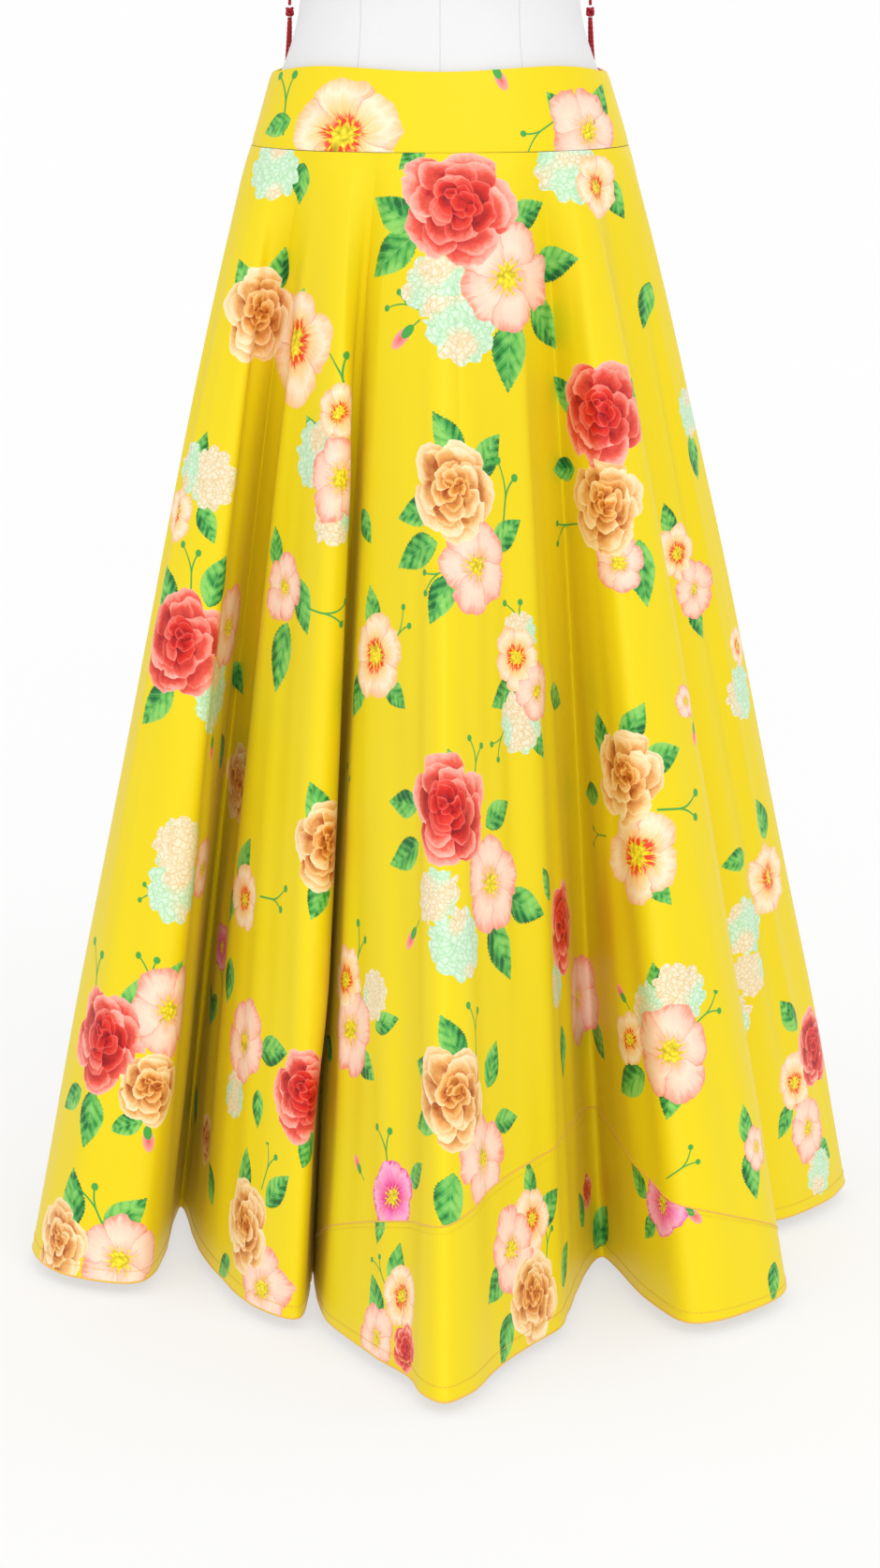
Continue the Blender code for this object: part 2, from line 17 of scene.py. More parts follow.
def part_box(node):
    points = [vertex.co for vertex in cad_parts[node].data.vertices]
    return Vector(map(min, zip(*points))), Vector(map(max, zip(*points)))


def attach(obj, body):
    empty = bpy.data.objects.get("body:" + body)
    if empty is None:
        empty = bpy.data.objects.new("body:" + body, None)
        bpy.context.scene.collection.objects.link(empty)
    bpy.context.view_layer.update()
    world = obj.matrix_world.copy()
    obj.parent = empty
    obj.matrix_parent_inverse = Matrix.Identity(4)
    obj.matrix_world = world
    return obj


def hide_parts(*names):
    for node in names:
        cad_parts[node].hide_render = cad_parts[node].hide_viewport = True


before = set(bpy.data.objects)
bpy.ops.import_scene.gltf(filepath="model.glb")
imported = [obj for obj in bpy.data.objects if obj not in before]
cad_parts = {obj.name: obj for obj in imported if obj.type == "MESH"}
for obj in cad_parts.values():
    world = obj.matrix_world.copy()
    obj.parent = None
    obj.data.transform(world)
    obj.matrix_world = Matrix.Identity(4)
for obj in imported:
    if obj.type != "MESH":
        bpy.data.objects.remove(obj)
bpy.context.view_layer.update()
ROOT = "root"

# Camera, fitted to the photograph
PHOTO_SIZE = (940, 1674)
CAMERA_PLACE = (0.0, -3.6, 1.195)
CAMERA_DOWN = radians(12.117)
LENS = 96.01
SENSOR = 36.0
FOCAL_PX = LENS / SENSOR * PHOTO_SIZE[1]

# Sizes read from the frame
BAND_LOW, BAND_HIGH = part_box("waistband_front")
SEAM_Z = BAND_LOW[2]
HEM_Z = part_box("skirt_back")[0][2]
SEAM_SIZE = (BAND_HIGH[0], -BAND_LOW[1])
# Sizes repeated from the cut
BAND_TOP_Z = 1.045
BAND_TOP_SIZE = (0.1415, 0.1045)    # half the width, half the depth
BAND_SIDE_DIP = 0.0045              # the upper edge dips at the sides
BAND_FRONT_RISE = 0.0040            # and rises between side and front
BAND_RADIUS = 0.15                  # about the mean one
BAND_SEAM_TURN = 0.0012             # half the side seam's gap, in radians
BAND_INSET = 0.0007                 # the cloth lies this far inside the solid's face
SKIRT_WALL = 0.0016
HIP_SPRING = 0.052                  # the cloth springs out below the seam, of its spread
HEM_RADIUS = 1.27                   # of the half circle, from its centre
CORNER_SAGITTA = 0.150              # greatest height of the pieced corner
CORNER_CENTRE = 0.215               # its middle along the hem, from the front tip
CORNER_LEAST = 0.006                # its ends stop at this height
SEAM_GAP = 0.0003
SHARP_EDGE = radians(50)

# The hem seen from above, in millimetres, a row for each fold.
# columns: fold, tip turn, valley turn, first corner, tip, second corner, valley
FOLDS = (
    ("left", -62, -44, (-361, -30), (-333, -118), (-262, -146), (-238, 68)),
    ("left front", -29, -18.5, (-212, -62), (-158, -208), (-122, -240), (-112, -110)),
    ("front left", -14, -5, (-104, -196), (-95, -243), (-55, -331), (-23, -386)),
    ("front", 0.5, 11, (-14, -420), (3, -441), (23, -422), (46, -362)),
    ("front right", 22, 31, (70, -314), (101, -262), (108, -222), (143, -76)),
    ("right front", 40, 51, (176, -185), (214, -251), (294, -176), (288, 8)),
    ("right", 67, 90, (322, 40), (366, 105), (374, 158), (262, 146)),
    ("back right", 107, 122, (322, 216), (303, 274), (252, 288), (182, 166)),
    ("back near right", 137, 153, (214, 328), (176, 374), (124, 362), (74, 190)),
    ("back", 171, 188, (62, 372), (10, 410), (-46, 384), (-70, 200)),
    ("back near left", 205, 220, (-112, 348), (-155, 371), (-202, 334), (-176, 172)),
    ("back left", 235, 250, (-256, 296), (-301, 268), (-322, 214), (-246, 146)),
    ("left back", 260, 270, (-334, 152), (-351, 104), (-342, 66), (-286, 36)),
)
LEFT_SEAM_FOLD = "left back"
RIGHT_SEAM_FOLD = "right"

# Soft creases and ridges, listed one by one; depth is minus for a trough.
# columns: turn at the seam, half-width in degrees, start share, end share, depth
CREASES = (
    (-71.0, 2.4, 0.04, 0.55, -0.0040),
    (-66.0, 1.4, 0.05, 0.80, 0.0018),
    (-57.3, 1.6, 0.03, 0.95, 0.0030),
    (-53.4, 2.6, 0.02, 0.62, -0.0036),
    (-40.6, 2.2, 0.03, 0.70, -0.0050),
    (-36.8, 1.5, 0.03, 0.95, 0.0030),
    (-31.5, 2.4, 0.10, 0.80, -0.0016),
    (-25.0, 2.4, 0.10, 0.86, 0.0085),
    (-20.4, 1.4, 0.02, 0.70, -0.0040),
    (-12.0, 1.6, 0.48, 0.98, -0.0020),
    (-7.5, 1.3, 0.60, 1.00, 0.0020),
    (-2.0, 2.4, 0.62, 1.00, -0.0024),
    (3.0, 1.2, 0.76, 1.00, 0.0022),
    (4.4, 0.7, -0.16, 0.42, -0.0012),
    (8.0, 2.4, 0.12, 0.62, 0.0014),
    (16.0, 1.8, 0.30, 0.90, -0.0026),
    (21.5, 2.2, 0.16, 0.95, 0.0014),
    (25.5, 2.6, 0.03, 0.48, -0.0018),
    (36.0, 1.4, 0.50, 1.00, 0.0018),
    (44.5, 1.8, 0.03, 0.95, 0.0020),
    (48.3, 2.2, 0.02, 0.60, -0.0046),
    (60.5, 1.7, 0.05, 0.95, -0.0036),
    (63.8, 1.0, 0.08, 0.95, 0.0022),
    (74.0, 2.0, 0.20, 0.95, 0.0020),
    (98.0, 2.4, 0.03, 0.55, -0.0044),
    (104.0, 1.3, 0.05, 0.90, 0.0026),
    (117.0, 1.8, 0.25, 0.90, -0.0028),
    (131.0, 2.2, 0.05, 0.48, -0.0044),
    (141.5, 1.3, 0.20, 1.00, 0.0024),
    (146.0, 2.0, 0.40, 1.00, -0.0026),
    (163.0, 2.4, 0.10, 0.70, 0.0022),
    (174.5, 1.4, 0.03, 0.80, -0.0048),
    (180.0, 1.2, 0.40, 0.98, 0.0022),
    (196.0, 2.2, 0.03, 0.50, -0.0044),
    (201.0, 1.3, 0.06, 0.95, 0.0026),
    (212.0, 2.0, 0.30, 0.92, -0.0028),
    (229.0, 2.4, 0.04, 0.44, -0.0044),
    (239.0, 1.3, 0.10, 0.96, 0.0026),
    (244.0, 1.8, 0.36, 1.00, -0.0026),
    (256.0, 2.2, 0.06, 0.60, -0.0036),
)

CREASE_STARTS_OVER = 0.20           # share of the fall in which a crease fades in
CREASE_ENDS_OVER = 0.16
SEAM_FADE = 0.02                    # relief fades out this near a side seam, in metres
EDGE_FADES = (0.03, 0.02)           # and at the upper edge and the hem, in shares
# Slow unevenness of the cloth. columns: wave length, phase, height
WAVES = ((0.155, 0.4, 0.0012), (0.091, 2.1, 0.0008), (0.053, 4.2, 0.0005))

# Mesh density
SKIRT_COLUMN = 0.0068
SKIRT_ROWS = 96
CORNER_ROWS = 24
BAND_COLUMN = 0.0030
BAND_ROWS = 22
# Walls of the finished cloth
SKIRT_CLOTH = 0.0012
BAND_CLOTH = 0.0016


def photo_ray(x, y):
    """The line of sight through a pixel of the photograph."""
    side = (x - PHOTO_SIZE[0] / 2) / FOCAL_PX
    up = (PHOTO_SIZE[1] / 2 - y) / FOCAL_PX
    ahead = Vector((0.0, cos(CAMERA_DOWN), -sin(CAMERA_DOWN)))
    above = Vector((0.0, sin(CAMERA_DOWN), cos(CAMERA_DOWN)))
    return Vector(CAMERA_PLACE), (ahead + above * up + Vector((side, 0.0, 0.0))).normalized()


# Nodes and shader expressions

def add_node(tree, kind, settings=(), **inputs):
    """A node, its settings first, then its sockets by name or number."""
    made = tree.nodes.new(kind)
    for key, value in dict(settings).items():
        if key == "stops":
            ramp = made.color_ramp
            while len(ramp.elements) < len(value):
                ramp.elements.new(0.5)
            for stop, (place, colour) in zip(ramp.elements, value):
                stop.position = place
                stop.color = (*colour, 1.0)
        else:
            setattr(made, key, value)
    for key, value in inputs.items():
        numbered = key[0] == "i" and key[1:].isdigit()
        socket = made.inputs[int(key[1:]) if numbered else key.replace("_", " ")]
        if isinstance(value, Sock):
            value = value.socket
        if isinstance(value, bpy.types.NodeSocket):
            tree.links.new(value, socket)
        else:
            socket.default_value = value
    return made


class Shop:
    """Makes the nodes of one material, or of one shared drawing."""

    def __init__(self, name, shared=False):
        if shared:
            self.tree = bpy.data.node_groups.new(name, "ShaderNodeTree")
            return
        self.material = bpy.data.materials.new(name)
        self.material.use_nodes = True
        self.tree = self.material.node_tree
        self.tree.nodes.clear()

    def node(self, kind, settings=(), **inputs):
        return add_node(self.tree, kind, settings, **inputs)

    def place(self):
        """The place on the object, in metres."""
        return self.out("ShaderNodeTexCoord", "Object")

    def out(self, kind, place, settings=(), **inputs):
        return Sock(self, self.node(kind, settings, **inputs).outputs[place])

    def attribute(self, name):
        return self.out("ShaderNodeAttribute", "Vector", {"attribute_name": name})

    def mix(self, fac, a, b):
        """A colour mix."""
        return self.out("ShaderNodeMix", 2, {"data_type": "RGBA"}, i0=fac, i6=a, i7=b)

    def blend(self, fac, a, b):
        """A number mix."""
        return a + (b - a) * fac

    def ramp(self, fac, *stops):
        return self.out("ShaderNodeValToRGB", "Color", {"stops": stops}, Fac=fac)

    def vector(self, x=0.0, y=0.0, z=0.0):
        return self.out("ShaderNodeCombineXYZ", 0, X=x, Y=y, Z=z)

    def split(self, v):
        return [Sock(self, part) for part in self.node("ShaderNodeSeparateXYZ", i0=v).outputs]

    def noise(self, v, scale, detail=2.0, rough=0.5, place="Fac"):
        return self.out("ShaderNodeTexNoise", place, Vector=v, Scale=scale, Detail=detail,
                        Roughness=rough)

    def finish(self, colour, rough, metal=0.0, bump=None, lift=0.0005, strength=1.0, **constants):
        """Principled surface. Constants go on its own sockets."""
        shader = self.node("ShaderNodeBsdfPrincipled", Base_Color=colour, Roughness=rough,
                           Metallic=metal, **constants)
        if bump is not None:
            normal = self.out("ShaderNodeBump", 0, Strength=strength, Distance=lift, Height=bump)
            self.tree.links.new(normal.socket, shader.inputs["Normal"])
        self.node("ShaderNodeOutputMaterial", i0=shader.outputs[0])
        return self.material


class Sock:
    """A number from a node, with arithmetic that adds Math nodes."""

    def __init__(self, shop, socket):
        self.shop, self.socket = shop, socket

    def math(self, operation, *others, clamp=False):
        places = {f"i{n + 1}": o for n, o in enumerate(others)}
        return self.shop.out("ShaderNodeMath", 0, {"operation": operation, "use_clamp": clamp},
                             i0=self, **places)

    def back(self, operation, other):
        return self.shop.out("ShaderNodeMath", 0, {"operation": operation}, i0=other, i1=self)

    def __add__(self, o): return self.math("ADD", o)
    def __radd__(self, o): return self.math("ADD", o)
    def __sub__(self, o): return self.math("SUBTRACT", o)
    def __rsub__(self, o): return self.back("SUBTRACT", o)
    def __mul__(self, o): return self.math("MULTIPLY", o)
    def __rmul__(self, o): return self.math("MULTIPLY", o)
    def __truediv__(self, o): return self.math("DIVIDE", o)
    def __rtruediv__(self, o): return self.back("DIVIDE", o)
    def __pow__(self, o): return self.math("POWER", o)
    def sin(self): return self.math("SINE")
    def cos(self): return self.math("COSINE")
    def abs(self): return self.math("ABSOLUTE")
    def floor(self): return self.math("FLOOR")
    def fract(self): return self.math("FRACT")
    def min(self, o): return self.math("MINIMUM", o)
    def max(self, o): return self.math("MAXIMUM", o)
    def clamp(self): return self.math("ADD", 0.0, clamp=True)
    def under(self, edge, soft): return ((edge - self) / soft).clamp()
    def over(self, edge, soft): return ((self - edge) / soft).clamp()


# The print. Every motif is drawn in its own flat coordinates, in which its
# outer edge is about 1 from its middle.

INK = 0.022            # softness of a printed edge, of a motif's radius
MOTIF_REACH = 1.22     # no motif is drawn farther out than this


def motif(shop, name):
    """Local x and y of the nearest motif of a kind, its variety and its seed."""
    x, y, tag = shop.split(shop.attribute(name))
    variety = tag.floor()
    return x, y, variety, tag - variety


def polar(x, y):
    """Distance and angle from the middle."""
    return (x * x + y * y).math("SQRT"), y.math("ARCTAN2", x)


def warp(shop, x, y, seed, scale, amount):
    """The place moved about a little, so that no edge is regular."""
    shift = shop.noise(shop.vector(x, y, seed * 37.0), scale, 2.0, place="Color")
    a, b, _ = shop.split(shift)
    return x + (a - 0.5) * amount, y + (b - 0.5) * amount


ROSE_RINGS = (
    # radius, petals, start of the first petal in turns, scallop, depth to the next ring
    (1.00, 5, 0.05, 0.18, 0.27), (0.86, 6, 0.31, 0.20, 0.24), (0.71, 6, 0.62, 0.22, 0.21),
    (0.57, 5, 0.13, 0.24, 0.18), (0.44, 5, 0.47, 0.26, 0.16), (0.32, 4, 0.84, 0.30, 0.13),
    (0.21, 3, 0.21, 0.34, 0.10), (0.11, 2, 0.66, 0.36, 0.07),
)


def petal_ring(radius_here, turn_here, radius, petals, scallop, seed):
    """A ring's edge, place across the petal, the petal's tint, and the mask inside."""
    place = turn_here * petals
    petal = place.floor()
    across = place - petal
    lobe = 1.0 - (across * 2.0 - 1.0).abs() ** 2.6
    edge = radius * (1.0 - scallop) + lobe * (radius * scallop)
    number = petal.math("FLOORED_MODULO", petals) * 1.7 + seed * 9.0 + radius * 31.0
    tint = (number.sin() * 43.7).fract()
    return edge, across, tint, radius_here.under(edge, INK)


def draw_rose(shop, name):
    """A full garden rose, red or peach: rings of petals, the inner ones deeper in tone."""
    x, y, variety, seed = motif(shop, name)
    x, y = warp(shop, x, y, seed, 2.2, 0.30)
    x, y = warp(shop, x, y, seed + 3.0, 7.0, 0.07)
    depth = inner = rim = x * 0.0
    for k, (radius, petals, start, scallop, gap) in enumerate(ROSE_RINGS):
        drift = 0.10 * sin(k * 2.4) * min(1.0, k / 2)
        r, a = polar(x - drift, y + drift * 0.7 - 0.02 * k)
        edge, across, tint, inside = petal_ring(r, a / (2 * pi) + seed + start, radius, petals,
                                                scallop, seed)
        if k == 0:
            mask = inside
        fall = ((edge - r) / gap).clamp()
        cast = (1.0 - across) ** 4.0 * 0.55
        here = (fall ** 0.8 * 0.72 + cast + (tint - 0.5) * 0.26).clamp()
        depth = shop.blend(inside, depth, here)
        rim = shop.blend(inside, rim, (edge - r).under(0.020, 0.025))
        inner = shop.blend(inside, inner, k / (len(ROSE_RINGS) - 1) + (tint - 0.5) * 0.30)
    streak = shop.noise(shop.vector(x * 3.0, y * 3.0, seed * 11.0), 5.0, 3.0)
    depth = (depth + (streak - 0.5) * 0.36).clamp()
    outer_red = shop.ramp(depth, (0.0, (0.90, 0.47, 0.39)), (0.28, (0.86, 0.31, 0.235)),
                          (0.55, (0.75, 0.090, 0.056)), (1.0, (0.42, 0.010, 0.011)))
    inner_red = shop.ramp(depth, (0.0, (0.84, 0.17, 0.11)), (0.20, (0.72, 0.040, 0.020)),
                          (0.60, (0.56, 0.011, 0.008)), (1.0, (0.22, 0.002, 0.004)))
    outer_peach = shop.ramp(depth, (0.0, (0.90, 0.74, 0.49)), (0.32, (0.87, 0.62, 0.32)),
                            (0.62, (0.76, 0.38, 0.11)), (1.0, (0.42, 0.10, 0.014)))
    inner_peach = shop.ramp(depth, (0.0, (0.88, 0.64, 0.32)), (0.24, (0.83, 0.46, 0.13)),
                            (0.58, (0.65, 0.22, 0.028)), (1.0, (0.28, 0.040, 0.004)))
    red = shop.mix((inner * 2.4 - 0.42).clamp(), outer_red, inner_red)
    red = shop.mix(rim * 0.82, red, (0.93, 0.52, 0.45, 1.0))
    peach = shop.mix((inner * 1.8 - 0.30).clamp(), outer_peach, inner_peach)
    peach = shop.mix(rim * 0.70, peach, (0.93, 0.78, 0.52, 1.0))
    return mask, shop.mix(variety.clamp(), red, peach)


def draw_bloom(shop, name):
    """An open five-petalled flower: pink, cream with a red throat, or magenta."""
    x, y, variety, seed = motif(shop, name)
    x, y = warp(shop, x, y, seed, 2.1, 0.34)
    x, y = warp(shop, x, y, seed + 5.0, 9.0, 0.05)
    r, a = polar(x, y)
    turn_here = a / (2 * pi) + seed
    edge, across, tint, _ = petal_ring(r, turn_here, 1.00, 5, 0.14, seed)
    edge = edge + (tint - 0.5) * 0.16
    mask = r.under(edge, INK)
    rho = (r / edge).clamp()
    vein = shop.noise(shop.vector(turn_here * 38.0, rho * 1.2, seed * 9.0), 1.6, 3.0, 0.6)
    fold = across.under(0.035, 0.05) * rho.over(0.12, 0.1)
    cast = (1.0 - across) ** 5.0 * 0.40
    tone = (rho + (vein - 0.5) * 0.50).clamp()
    pink = shop.ramp(tone, (0.0, (0.78, 0.16, 0.07)), (0.20, (0.88, 0.42, 0.28)),
                     (0.50, (0.90, 0.66, 0.51)), (0.80, (0.89, 0.57, 0.44)),
                     (1.0, (0.82, 0.27, 0.18)))
    cream = shop.ramp(tone, (0.0, (0.62, 0.020, 0.006)), (0.32, (0.78, 0.055, 0.016)),
                      (0.42, (0.88, 0.55, 0.20)), (0.75, (0.90, 0.74, 0.54)),
                      (1.0, (0.86, 0.50, 0.22)))
    magenta = shop.ramp(tone, (0.0, (0.36, 0.003, 0.05)), (0.28, (0.72, 0.035, 0.22)),
                        (0.55, (0.84, 0.22, 0.46)), (0.85, (0.88, 0.42, 0.60)),
                        (1.0, (0.76, 0.06, 0.28)))
    colour = shop.mix(variety.clamp(), pink, cream)
    colour = shop.mix((variety - 1.0).clamp(), colour, magenta)
    colour = shop.mix((fold * 0.75 + cast).clamp() * 0.8, colour, (0.80, 0.20, 0.12, 1.0))
    threads = (turn_here * (2 * pi * 13.0)).sin().over(0.45, 0.3) * r.under(0.34, 0.03)
    cells = shop.out("ShaderNodeTexVoronoi", "Distance", Vector=shop.vector(x, y, seed * 5.0),
                     Scale=12.0)
    eye = shop.ramp(cells, (0.0, (0.90, 0.82, 0.08)), (0.40, (0.80, 0.62, 0.015)),
                    (1.0, (0.36, 0.28, 0.01)))
    ragged = 0.22 + (turn_here * (2 * pi * 9.0)).sin() * 0.035
    heart = r.under(ragged, 0.03).max(threads * 0.9)
    return mask, shop.mix(heart, colour, eye)


def draw_cluster(shop, name):
    """A lacy head of many small florets in cream and mint."""
    x, y, variety, seed = motif(shop, name)
    x, y = warp(shop, x, y, seed, 1.8, 0.42)
    r, a = polar(x, y)
    scallop = (a * 5.5 + seed * 20.0).cos().abs()
    mask = r.under(0.80 + scallop * 0.13, INK)
    place = shop.vector(x, y, seed * 13.0)
    lines = shop.out("ShaderNodeTexVoronoi", "Distance", {"feature": "DISTANCE_TO_EDGE"},
                     Vector=place, Scale=6.5)
    fine = shop.noise(place, 17.0, 3.0, 0.6)
    shade = (lines * 3.4 + (fine - 0.5) * 1.5 + 0.12).clamp()
    mint = shop.ramp(shade, (0.0, (0.36, 0.62, 0.34)), (0.35, (0.48, 0.69, 0.46)),
                     (1.0, (0.60, 0.76, 0.59)))
    cream = shop.ramp(shade, (0.0, (0.66, 0.48, 0.22)), (0.35, (0.75, 0.61, 0.38)),
                      (1.0, (0.81, 0.71, 0.53)))
    drift = shop.noise(shop.vector(x, y, seed * 3.0), 1.1, 0.0)
    colour = shop.mix(((drift - 0.5) * 7.0 + 0.5 + (variety - 0.5) * 1.3).clamp(), cream, mint)
    fleck = fine.over(0.63, 0.03) * 0.75
    return mask, shop.mix(fleck.clamp(), colour, (0.34, 0.46, 0.08, 1.0))


def draw_leaf(shop, name):
    """A veined leaf from its stalk at the left to its tip at the right."""
    x, y, _, seed = motif(shop, name)
    along = ((x + 1.0) / 2.0).clamp()
    y = y + (along - 0.5) * (along - 0.5) * (seed - 0.5) * 0.9
    teeth = ((along * 17.0).fract() - 0.5) * 0.05
    rough = shop.noise(shop.vector(x, y, seed * 7.0), 9.0, 1.0)
    width = (along ** 0.78 * pi).sin() * 0.58 + (rough - 0.5) * 0.07 - teeth
    mask = y.abs().under(width, INK * 1.6) * x.abs().under(1.0, INK)
    rib = y.abs().under(0.022, 0.03)
    side = ((along - y.abs() * 0.55) * 30.0).sin()
    veins = side.over(0.84, 0.16) * 0.45
    between = (0.0 - side).over(0.1, 0.9) * 0.34
    shade = shop.noise(shop.vector(x, y, seed * 19.0), 1.9, 2.0) + y * 0.34 - between * 0.34
    green = shop.ramp(shade.clamp(), (0.22, (0.012, 0.120, 0.030)), (0.36, (0.034, 0.26, 0.045)),
                      (0.50, (0.11, 0.42, 0.070)), (0.68, (0.24, 0.56, 0.11)))
    colour = shop.mix((rib.max(veins) * 0.7).clamp(), green, (0.30, 0.58, 0.20, 1.0))
    return mask, colour


def draw_sprig(shop, name):
    """Two thin curling stems that end in beads, or a bud on its stalk."""
    x, y, variety, seed = motif(shop, name)
    lean = (seed - 0.5) * 0.5
    mask = x * 0.0
    for side, height in ((-1.0, 0.95), (1.0, 0.72)):
        fork = y.max(0.0)
        line = (fork * fork * 0.42 + fork * 0.10) * side + y * lean
        reach = y.over(-0.95, 0.03) * y.under(height, 0.03)
        stem = (x - line).abs().under(0.052, 0.03) * reach
        end = (height * height * 0.42 + height * 0.10) * side
        bead, _ = polar(x - end - lean * height, y - height)
        mask = mask.max(stem).max(bead.under(0.15, 0.04))
    r, _ = polar(x * 1.9, y - 0.30)
    bud = r.under(0.55, 0.05) * variety.clamp()
    calyx = polar(x * 1.7, y + 0.10)[0].under(0.36, 0.05) * variety.clamp()
    stalk = (x - lean * 0.2).abs().under(0.05, 0.03) * y.under(0.0, 0.03) * y.over(-0.95, 0.03)
    whole = shop.blend(variety.clamp(), mask, stalk.max(bud).max(calyx))
    pink = shop.mix((r * 1.6).clamp(), (0.82, 0.10, 0.10, 1.0), (0.94, 0.42, 0.34, 1.0))
    green = (0.060, 0.34, 0.055, 1.0)
    return whole, shop.mix((bud * (1.0 - calyx)).clamp(), green, pink)


KINDS = (
    # group, attribute, drawing; the first lies lowest
    ("green", "leaf_low", draw_leaf),
    ("green", "leaf_high", draw_leaf),
    ("green", "sprig", draw_sprig),
    ("cluster", "cluster", draw_cluster),
    ("bloom", "bloom_low", draw_bloom),
    ("bloom", "bloom_high", draw_bloom),
    ("rose", "rose", draw_rose),
)
GROUPS = ("green", "cluster", "bloom", "rose")


def shared_drawing(name, drawing):
    """A drawing as a node group, which several materials use."""
    shop = Shop(name, shared=True)
    mask, ink = drawing(shop, name)
    shop.tree.interface.new_socket("Mask", in_out="OUTPUT", socket_type="NodeSocketFloat")
    shop.tree.interface.new_socket("Ink", in_out="OUTPUT", socket_type="NodeSocketColor")
    shop.node("NodeGroupOutput", Mask=mask, Ink=ink)
    return shop.tree


DRAWINGS = {name: shared_drawing(name, drawing) for _, name, drawing in KINDS}
GROUND = (0.735, 0.565, 0.005, 1.0)
GROUND_PALER = (0.765, 0.600, 0.006, 1.0)
TWILL_PITCH = 0.0009
WEFT_PITCH = 0.0007


def threads(along, pitch):
    """A wave from -1 to 1 over each thread."""
    return (along * (2 * pi / pitch)).sin()


def satin_material(groups):
    """Printed satin for the faces that carry these groups of motifs."""
    shop = Shop("_".join(("yellow_satin",) + groups))
    place = shop.place()
    slow = shop.noise(place, 5.0, 2.0)
    colour = shop.mix(slow, GROUND, GROUND_PALER)
    for group, name, _ in KINDS:
        if group in groups:
            drawn = shop.node("ShaderNodeGroup", {"node_tree": DRAWINGS[name]})
            mask, ink = (Sock(shop, drawn.outputs[part]) for part in ("Mask", "Ink"))
            colour = shop.mix(mask, colour, ink)
    # A fine twill in the cloth's own coordinates, under a crepe grain
    across, down, _ = shop.split(shop.attribute("cloth"))
    crepe = shop.noise(place, 900.0, 1.0)
    height = threads(across + down * 0.5, TWILL_PITCH) * 0.10 + threads(down, WEFT_PITCH) * 0.08
    return shop.finish(colour, 0.46 + (slow - 0.5) * 0.10, bump=height + crepe * 0.8,
                       lift=0.00004, strength=0.25, Sheen_Weight=0.02, Sheen_Roughness=0.45,
                       Specular_IOR_Level=0.20)


def thread_material(name, colour):
    """Plain yarn for stitches, the rolled hem and the seam of the corner."""
    shop = Shop(name)
    place = shop.place()
    slow = shop.noise(place, 30.0, 2.0)
    darker = tuple(c * 0.86 for c in colour[:3]) + (1.0,)
    return shop.finish(shop.mix(slow, colour, darker), 0.5 + (slow - 0.5) * 0.1,
                       bump=shop.noise(place, 1400.0, 1.0), lift=0.00005, strength=0.4,
                       Sheen_Weight=0.15)


def red_cloth_material():
    """Deep red cotton silk with a slubby weft."""
    shop = Shop("deep_red_cotton_silk")
    place = shop.place()
    x, y, z = shop.split(place)
    slub = shop.noise(shop.vector(x * 0.6, y * 0.6, z * 9.0), 60.0, 2.0)
    slow = shop.noise(place, 9.0, 3.0)
    colour = shop.mix((slow * 0.7 + slub * 0.4).clamp(), (0.215, 0.0035, 0.0070, 1.0),
                      (0.310, 0.0065, 0.0110, 1.0))
    height = threads(x + y, 0.0011) * 0.4 + threads(z, 0.0010) * 0.4 + slub
    return shop.finish(colour, 0.66 + (slub - 0.5) * 0.16, bump=height, lift=0.00012,
                       strength=0.5, Sheen_Weight=0.05, Sheen_Roughness=0.4,
                       Specular_IOR_Level=0.30)


CORD_PLIES = 2
CORD_LAY = 0.0042      # length of one turn of the plies


def cord_material():
    """Twisted cord, from the tube's own map of length and turn."""
    shop = Shop("red_twisted_cord")
    along, around, _ = shop.split(shop.attribute("cord"))
    ply = ((around * CORD_PLIES + along / CORD_LAY) * (2 * pi)).sin()
    fibre = shop.noise(shop.vector(along * 900.0, around * 20.0), 3.0, 2.0)
    # The colour darkens and lightens with the twist of the plies: painted shade along the plies,
    # over the fibres' own random tone.
    colour = shop.mix((ply * 0.35 + fibre * 0.6 + 0.2).clamp(), (0.26, 0.0025, 0.0050, 1.0),
                      (0.46, 0.0060, 0.0100, 1.0))
    return shop.finish(colour, 0.55 + (fibre - 0.5) * 0.2, bump=ply * 0.7 + fibre * 0.3,
                       lift=0.0003, strength=0.5, Sheen_Weight=0.04, Specular_IOR_Level=0.30)


FORM_SEAM = 0.00078    # half the width of the form's seam lines
FORM_SEAM_EDGE = 0.00072   # over which they fade
FORM_WAIST_Z = 1.100


def jersey_material():
    """White jersey with its princess, side and centre seams."""
    shop = Shop("white_jersey")
    place = shop.place()
    x, y, z = shop.split(place)
    from_waist = (z - FORM_WAIST_Z) / 0.16
    princess = 0.066 + (from_waist * from_waist).min(1.0) * 0.024
    line = (x.abs() - princess).abs().min(x.abs()).min(y.abs())
    seam = line.under(FORM_SEAM, FORM_SEAM_EDGE)
    slow = shop.noise(place, 14.0, 3.0)
    colour = shop.mix(slow, (0.655, 0.655, 0.663, 1.0), (0.705, 0.705, 0.710, 1.0))
    colour = shop.mix((seam * 0.42).clamp(), colour, (0.50, 0.49, 0.48, 1.0))
    ribs = threads(x * 0.8 + y, 0.0012) * 0.25 + threads(z, 0.0011) * 0.25
    return shop.finish(colour, 0.82 + (slow - 0.5) * 0.08, bump=ribs - seam * 5.0, lift=0.00012,
                       strength=0.5, Sheen_Weight=0.1)


def enamel_material():
    shop = Shop("white_enamel")
    place = shop.place()
    slow = shop.noise(place, 22.0, 3.0)
    colour = shop.mix(slow, (0.74, 0.74, 0.72, 1.0), (0.82, 0.82, 0.80, 1.0))
    return shop.finish(colour, 0.30 + (slow - 0.5) * 0.12, bump=shop.noise(place, 300.0, 1.0),
                       lift=0.00005, strength=0.2, Coat_Weight=0.3)


